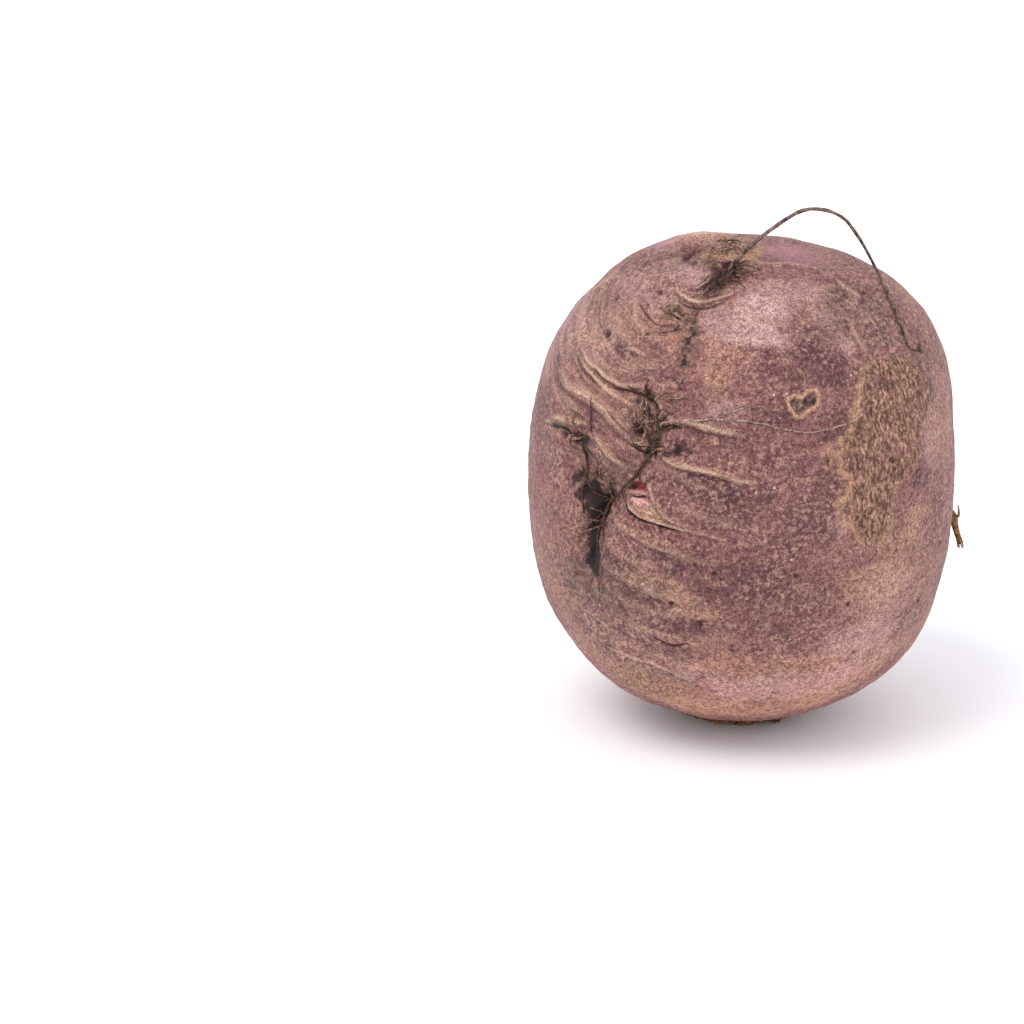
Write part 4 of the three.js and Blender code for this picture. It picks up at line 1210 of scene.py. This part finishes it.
# The side root, broken off into splinters, with a bud on its side
SIDE_ROOT = [(37.4, -2, 43.6), (40, -2.4, 40.8), (40.7, -2.8, 38.6), (41.3, -3.4, 36.8), (41.9, -3.9, 35.2)]
side_root = catmull(SIDE_ROOT, 24)
SPLINTERS = 9
splinters = []
for k in range(SPLINTERS):
    turn = 2 * math.pi * k / SPLINTERS
    out = np.array([math.cos(turn), math.sin(turn), 0.0]) * 0.45
    drop = np.array([0, 0, -0.2 - 1.0 * random.random()])
    course = [side_root[16] + out * 0.6, side_root[20] + out, side_root[-1] + out * 1.2 + drop]
    splinters.append((catmull(course, 8), 0.45, 0.15))
bud = [side_root[8], side_root[10] + (0.8, 0, 1.4), side_root[8] + (0.9, 0, 2.6)]
splinters.append((catmull(bud, 8), 0.7, 0.3))
pieces.append(roots("side_root", [(side_root, 1.4, 1.1)] + splinters, STUMP, 10, 0.3, seed=5))


def fibres_between(start, end, count, spread, lift, thick, tip, bow=0.0):
    """A loose sheaf of fibres from round one place on the skin to round another."""
    sheaf = []
    for _ in range(count):
        a, b, c, d, e = random.normal(size=5)
        first = (start[0] + 2.4 * spread[0] * a, start[1] + spread[0] * 0.6 * b, -0.4)
        last = (end[0] + 2.0 * spread[1] * c, end[1] + spread[1] * 0.7 * d, lift * random.random())
        middle = ((first[0] + last[0]) / 2 + bow + 0.5 * e, (first[1] + last[1]) / 2 + 0.4 * a,
                  lift * (0.6 + 0.8 * random.random()))
        sheaf.append((on_skin([first, middle, last], 12), thick * (0.7 + 0.6 * random.random()), tip))
    return sheaf


# The tuft of dark fibres at the root tip: a sheaf down to the left, hairs to the right
THICK_FIBRE = [(-16, 76.5, -0.8), (-13, 73, 0.8), (-18, 68.5, 1.0), (-25, 64, 0.4)]
TIP_HAIRS = [
    [(-14, 76, 0), (-3, 76, 0.9), (10, 75, 0.5)], [(-12, 74, 0), (0, 73.5, 0.8), (11, 75, 0.5)],
    [(-13, 77, 0), (-4, 78.5, 0.7), (1, 79, 0.3)], [(-11, 72, 0), (-4, 72.6, 0.9), (-1, 74, 0.3)],
    [(-11, 71, 0), (-7, 69.5, 0.7), (-3, 68, 0.3)], [(-12, 73, 0), (-6, 71, 0.9), (-3, 71.8, 0.4)],
]
tuft = fibres_between((-17, 75), (-24, 65), 18, (2.2, 1.8), 1.2, 0.22, 0.12, bow=1.0)
tuft += fibres_between((-15, 73.5), (-22, 67), 10, (2.0, 1.8), 1.3, 0.26, 0.12)
tuft += [(on_skin(THICK_FIBRE, 16), 0.8, 0.35)]
tuft += [(on_skin(course, 18), 0.3, 0.12) for course in TIP_HAIRS]
tuft += fibres_between((-14, 75), (-4, 75), 7, (1.0, 3.0), 0.8, 0.26, 0.1)
pieces.append(roots("tip_fibres", tuft, FIBRE, 6, 0.16, 1.5, seed=7))

# The dark strand in the seam and the rootlets of the two scars, then those of the back seam
STRANDS = [
    ([(-22, 31, 0.2), (-25, 30.5, 0.5), (-27.5, 29, 0.5), (-28.5, 26.5, 0.5), (-30, 23.5, 0.5),
      (-32, 21, 0.5), (-35, 17, 0.5), (-39, 13, 0.5), (-43, 9, 0.5), (-47, 6, 0.6), (-48, 1, 0.4),
      (-48, -8, 0.1)], 0.5, 0.4),
    ([(-26, 34, -0.6), (-27.5, 31, 0.6), (-28, 28, 0.7), (-29.5, 25.5, 0.6), (-30.5, 22.5, 0.2)], 0.55, 0.4),
    ([(-27.5, 28, -0.2), (-27.2, 26, 0.3), (-27, 24, 0.2)], 0.3, 0.2),
    ([(-26, 24, 0.1), (-24.5, 24.3, 0.3), (-22.7, 24, 0.15)], 0.35, 0.2),
    ([(-49, 23, -0.8), (-49.5, 27, 0.5), (-51, 32.5, 0.35)], 0.45, 0.2),
    ([(-53, 23, -0.8), (-52, 20, 0.4), (-52, 17, 0.5), (-52.5, 12, 0.5), (-53, 8, 0.5), (-52, 2, 0.3)],
     0.5, 0.35),
    ([(-34, 37.5, -0.8), (-34, 39, 0.4), (-33.8, 40.5, 0.5)], 0.5, 0.15),
    ([(-40, 38, 0.1), (-36, 37.3, 0.4), (-32, 36.8, 0.4), (-29.5, 35.5, 0.1)], 0.3, 0.2),
    ([(-35, 17.5, 0.1), (-31, 15, 0.4), (-30, 16.5, 0.5), (-27, 18, 0.15)], 0.3, 0.15),
    ([(-37, 27, -0.4), (-33, 24.5, 0.4), (-29, 25, 0.4), (-26.5, 28, -0.3)], 0.5, 0.3),
    ([(-47, 7, 0.4), (-51, 10, 0.5), (-54, 15, 0.2)], 0.45, 0.25),
    ([(-44, 9, 0.4), (-47, 4, 0.6), (-46, -3, 0.3)], 0.5, 0.3),
]
back_strand = []
for k, (az, el) in enumerate(BACK_ROW[2:6]):
    back_strand.append((az + 1.5 * math.sin(3.1 * k), el, 0.25))
strands = laid(STRANDS, 12) + [(on_skin(along, 36), 0.6, 0.3) for along in BACK_ROOTLETS]
strands.append((on_skin(back_strand, 60), 0.45, 0.3))
pieces.append(roots("seam_strands", strands, FIBRE, 8, 0.34, 1.5, seed=11))

# Short curved fibres, dark and pale in turn, in the torn tissue: azimuth, elevation, spread, count
TORN_PLACES = [
    (-32, 34, 3.6, 18), (-30, 26, 2.2, 8), (-54, 23, 3.0, 9), (-47, 12, 5.0, 10), (-32, 79, 5.0, 6),
    (-90, 83, 3.5, 6), (-32, 57.5, 2.0, 5), (-49, 2, 3.0, 6), (157, 40, 4, 10), (157, 5, 4, 10),
]
LONGER_BITS = [
    [(-32, 29, 0.1), (-31.7, 27.5, 0.5), (-32.5, 26, 0.2)],
    [(-35, 26.5, 0.1), (-34, 25.4, 0.4), (-32, 26, 0.2)],
    [(-29, 25, 0.1), (-28, 27.5, 0.6), (-27, 29.5, 0.3)],
    [(-36, 11.5, 0.1), (-33, 11.9, 0.3), (-30.5, 12.3, 0.1)],
]


def torn_fibre(az, el, spread):
    """A fibre near a place, bent as it goes and lifted off the skin in its middle."""
    stretch = 1 / max(0.15, math.cos(math.radians(el)))
    a, b = spread * random.normal(size=2) * 0.55
    way, bend = 2 * math.pi * random.random(), random.normal() * 0.45
    size = 0.8 + 1.6 * random.random()
    course = []
    for lift in (-0.15, 0.35, 0.4, 0.0):
        course.append((az + a * stretch, el + b, lift + 0.1 * random.random()))
        a, b = a + size * math.cos(way), b + size * math.sin(way)
        way += bend
    return on_skin(course, 12), 0.2 + 0.2 * random.random(), 0.1


dark_bits, pale_bits = [], []
for az, el, spread, count in TORN_PLACES:
    for k in range(count):
        (dark_bits if k % 2 else pale_bits).append(torn_fibre(az, el, spread))
pale_bits += [(on_skin(course, 14), 0.35, 0.2) for course in LONGER_BITS]
pieces.append(roots("dark_scraps", dark_bits, FIBRE, 6, 0.2, 1.2, seed=13))
pieces.append(roots("pale_scraps", pale_bits, SCRAP, 6, 0.2, 1.2, seed=15))

# Fine hairs that lie on the skin
HAIRS = [
    ([(-30.5, 24, 0.3), (-29, 26, 0.6), (-28, 28.5, 0.7), (-27, 31, 0.7), (-24, 32, 0.5), (-19, 32.5, 0.4),
      (-11, 33.6, 0.3), (-4, 33.6, 0.2), (3, 32.6, 0.2), (8, 31.4, 0.25), (13, 30.4, 0.2)], 0.3, 0.22),
    ([(13, 30.4, 0.2), (18, 30, 0.2), (24, 30.6, 0.2), (31, 31.5, 0.3), (38, 34, 0.1)], 0.22, 0.14),
    ([(-11, 33.8, 0.1), (-7, 35.5, 0.25), (-3, 36.6, 0.15), (2, 37, 0.1)], 0.24, 0.14),
    ([(160, 40, 0.1), (150, 36, 0.4), (140, 34, 0.1)], 0.26, 0.14),
    ([(162, 14, 0.1), (170, 10, 0.4), (178, 8, 0.1)], 0.26, 0.14),
    ([(-100, 20, 0.1), (-108, 16, 0.3), (-116, 17, 0.1)], 0.26, 0.14),
]
pieces.append(roots("skin_hairs", laid(HAIRS, 14), THREAD, 6, 0.3, 3.0, seed=17))

# Torn leaf bases round the crown
LEAF_BASES = 46
bases = []
for k in range(LEAF_BASES):
    az, el = 360 * (k + 0.6 * random.random()) / LEAF_BASES, -75.2 + 1.6 * random.random()
    course = [(az, -79, -0.3), (az + 2 * random.normal(), -77, 0.1), (az + 4 * random.normal(), el, 0.45)]
    bases.append((on_skin(course, 8), 0.9 + 0.6 * random.random(), 0.35))
pieces.append(roots("leaf_bases", bases, STUMP, 7, 0.3, 1.8, seed=19))


# Grit and soil: one geometry tree strews small stones where an attribute of the skin says
def scatter_tree():
    inputs = {"Geometry": None, "Density per m2": 1e4, "Where": "low", "Smallest mm": 0.1,
              "Largest mm": 0.4, "Seed": 1, "Material": None}
    n, start, end = new_group("strewn_grains", "GeometryNodeTree", inputs, "Geometry", None)
    share = n.node("GeometryNodeInputNamedAttribute", {"Name": start["Where"]}, data_type="FLOAT")
    density = n.times(share.outputs[0], start["Density per m2"])
    inputs = {"Mesh": start["Geometry"], "Density": density, "Seed": start["Seed"]}
    points = n.node("GeometryNodeDistributePointsOnFaces", inputs, distribute_method="RANDOM")
    stone = n.node("GeometryNodeMeshIcoSphere", {"Radius": 0.5 * MM, "Subdivisions": 1})
    place = n.node("GeometryNodeInputPosition").outputs[0]
    dents = n.node("ShaderNodeTexNoise", {"Vector": place, "Scale": 1800.0}).outputs["Color"]
    dents = n.vector("SUBTRACT", dents, {1: (0.5, 0.5, 0.5)}).outputs[0]
    inputs = {"Geometry": stone.outputs[0], "Offset": n.scaled(dents, 0.6 * MM)}
    rough = n.node("GeometryNodeSetPosition", inputs)
    inputs = {2: start["Smallest mm"], 3: start["Largest mm"], "Seed": start["Seed"]}
    size = n.node("FunctionNodeRandomValue", inputs, data_type="FLOAT")
    inputs = {"Min": ORIGIN, "Max": (6.28, 6.28, 6.28)}
    turn = n.node("FunctionNodeRandomValue", inputs, data_type="FLOAT_VECTOR")
    scattered = n.node("GeometryNodeInstanceOnPoints", {
        "Points": points.outputs[0], "Instance": rough.outputs[0], "Rotation": turn.outputs[0],
        "Scale": size.outputs[1]})
    return finish_tree(n, start, end, scattered.outputs[0])


SCATTER_TREE = scatter_tree()


def strewn(name, where, density, smallest, largest, seed, material):
    return through_tree(name, skin_piece.data.copy(), SCATTER_TREE, {
        "Density per m2": density, "Where": where, "Smallest mm": smallest, "Largest mm": largest,
        "Seed": seed, "Material": material})


pieces.append(strewn("pale_grit", "deep", 9000.0, 0.1, 0.4, 5, GRIT))
pieces.append(strewn("soil_crumbs", "soil", 120000.0, 0.15, 0.6, 7, SOIL))

for piece in pieces:
    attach(piece, "root")
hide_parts("beetroot")

# Floor, light and camera
FLOOR_HALF = 4000
corners = [(-FLOOR_HALF, -FLOOR_HALF, 0), (FLOOR_HALF, -FLOOR_HALF, 0), (FLOOR_HALF, FLOOR_HALF, 0),
           (-FLOOR_HALF, FLOOR_HALF, 0)]
mesh_object("floor", corners, [(0, 1, 2, 3)], FLOOR)


def sun(name, place, strength, softness):
    """A broad soft light from one side, the same over the whole floor; softness is its width in degrees."""
    light = bpy.data.lights.new(name, "SUN")
    light.angle = math.radians(softness)
    light.energy = strength
    lamp = put_in_scene(bpy.data.objects.new(name, light))
    lamp.location = place
    lamp.rotation_euler = (-Vector(place)).to_track_quat("-Z", "Y").to_euler()


sun("key", (-0.42, -0.28, 0.86), 1.25, 34)
sun("side", (0.9, -0.1, 0.25), 0.55, 60)

world = bpy.data.worlds.new("studio")
world.use_nodes = True
sky = world.node_tree.nodes["Background"].inputs
sky["Color"].default_value = (0.97, 0.97, 1.02, 1)
sky["Strength"].default_value = 1.1
bpy.context.scene.world = world
bpy.context.scene.view_settings.view_transform = "Standard"

# The photograph's view: 20 degrees above the horizon, from far off, the root right of the middle
ELEVATION = math.radians(20)
DISTANCE = 0.8
FOCAL_PIXELS = 4200
FRAME_PIXELS = 1024
HEART_PIXEL = (741, 478)
SENSOR_MM = 36
forward = Vector((0, math.cos(ELEVATION), -math.sin(ELEVATION)))
right = Vector((1, 0, 0))
upward = Vector((0, math.sin(ELEVATION), math.cos(ELEVATION)))
lens = bpy.data.cameras.new("camera")
lens.sensor_width = SENSOR_MM
lens.lens = SENSOR_MM * FOCAL_PIXELS / FRAME_PIXELS
camera = put_in_scene(bpy.data.objects.new("camera", lens))
aside = (HEART_PIXEL[0] - FRAME_PIXELS / 2) / FOCAL_PIXELS * DISTANCE
above = (FRAME_PIXELS / 2 - HEART_PIXEL[1]) / FOCAL_PIXELS * DISTANCE
camera.location = Vector(HEART * MM) - DISTANCE * forward - aside * right - above * upward
camera.rotation_euler = forward.to_track_quat("-Z", "Y").to_euler()
bpy.context.scene.camera = camera
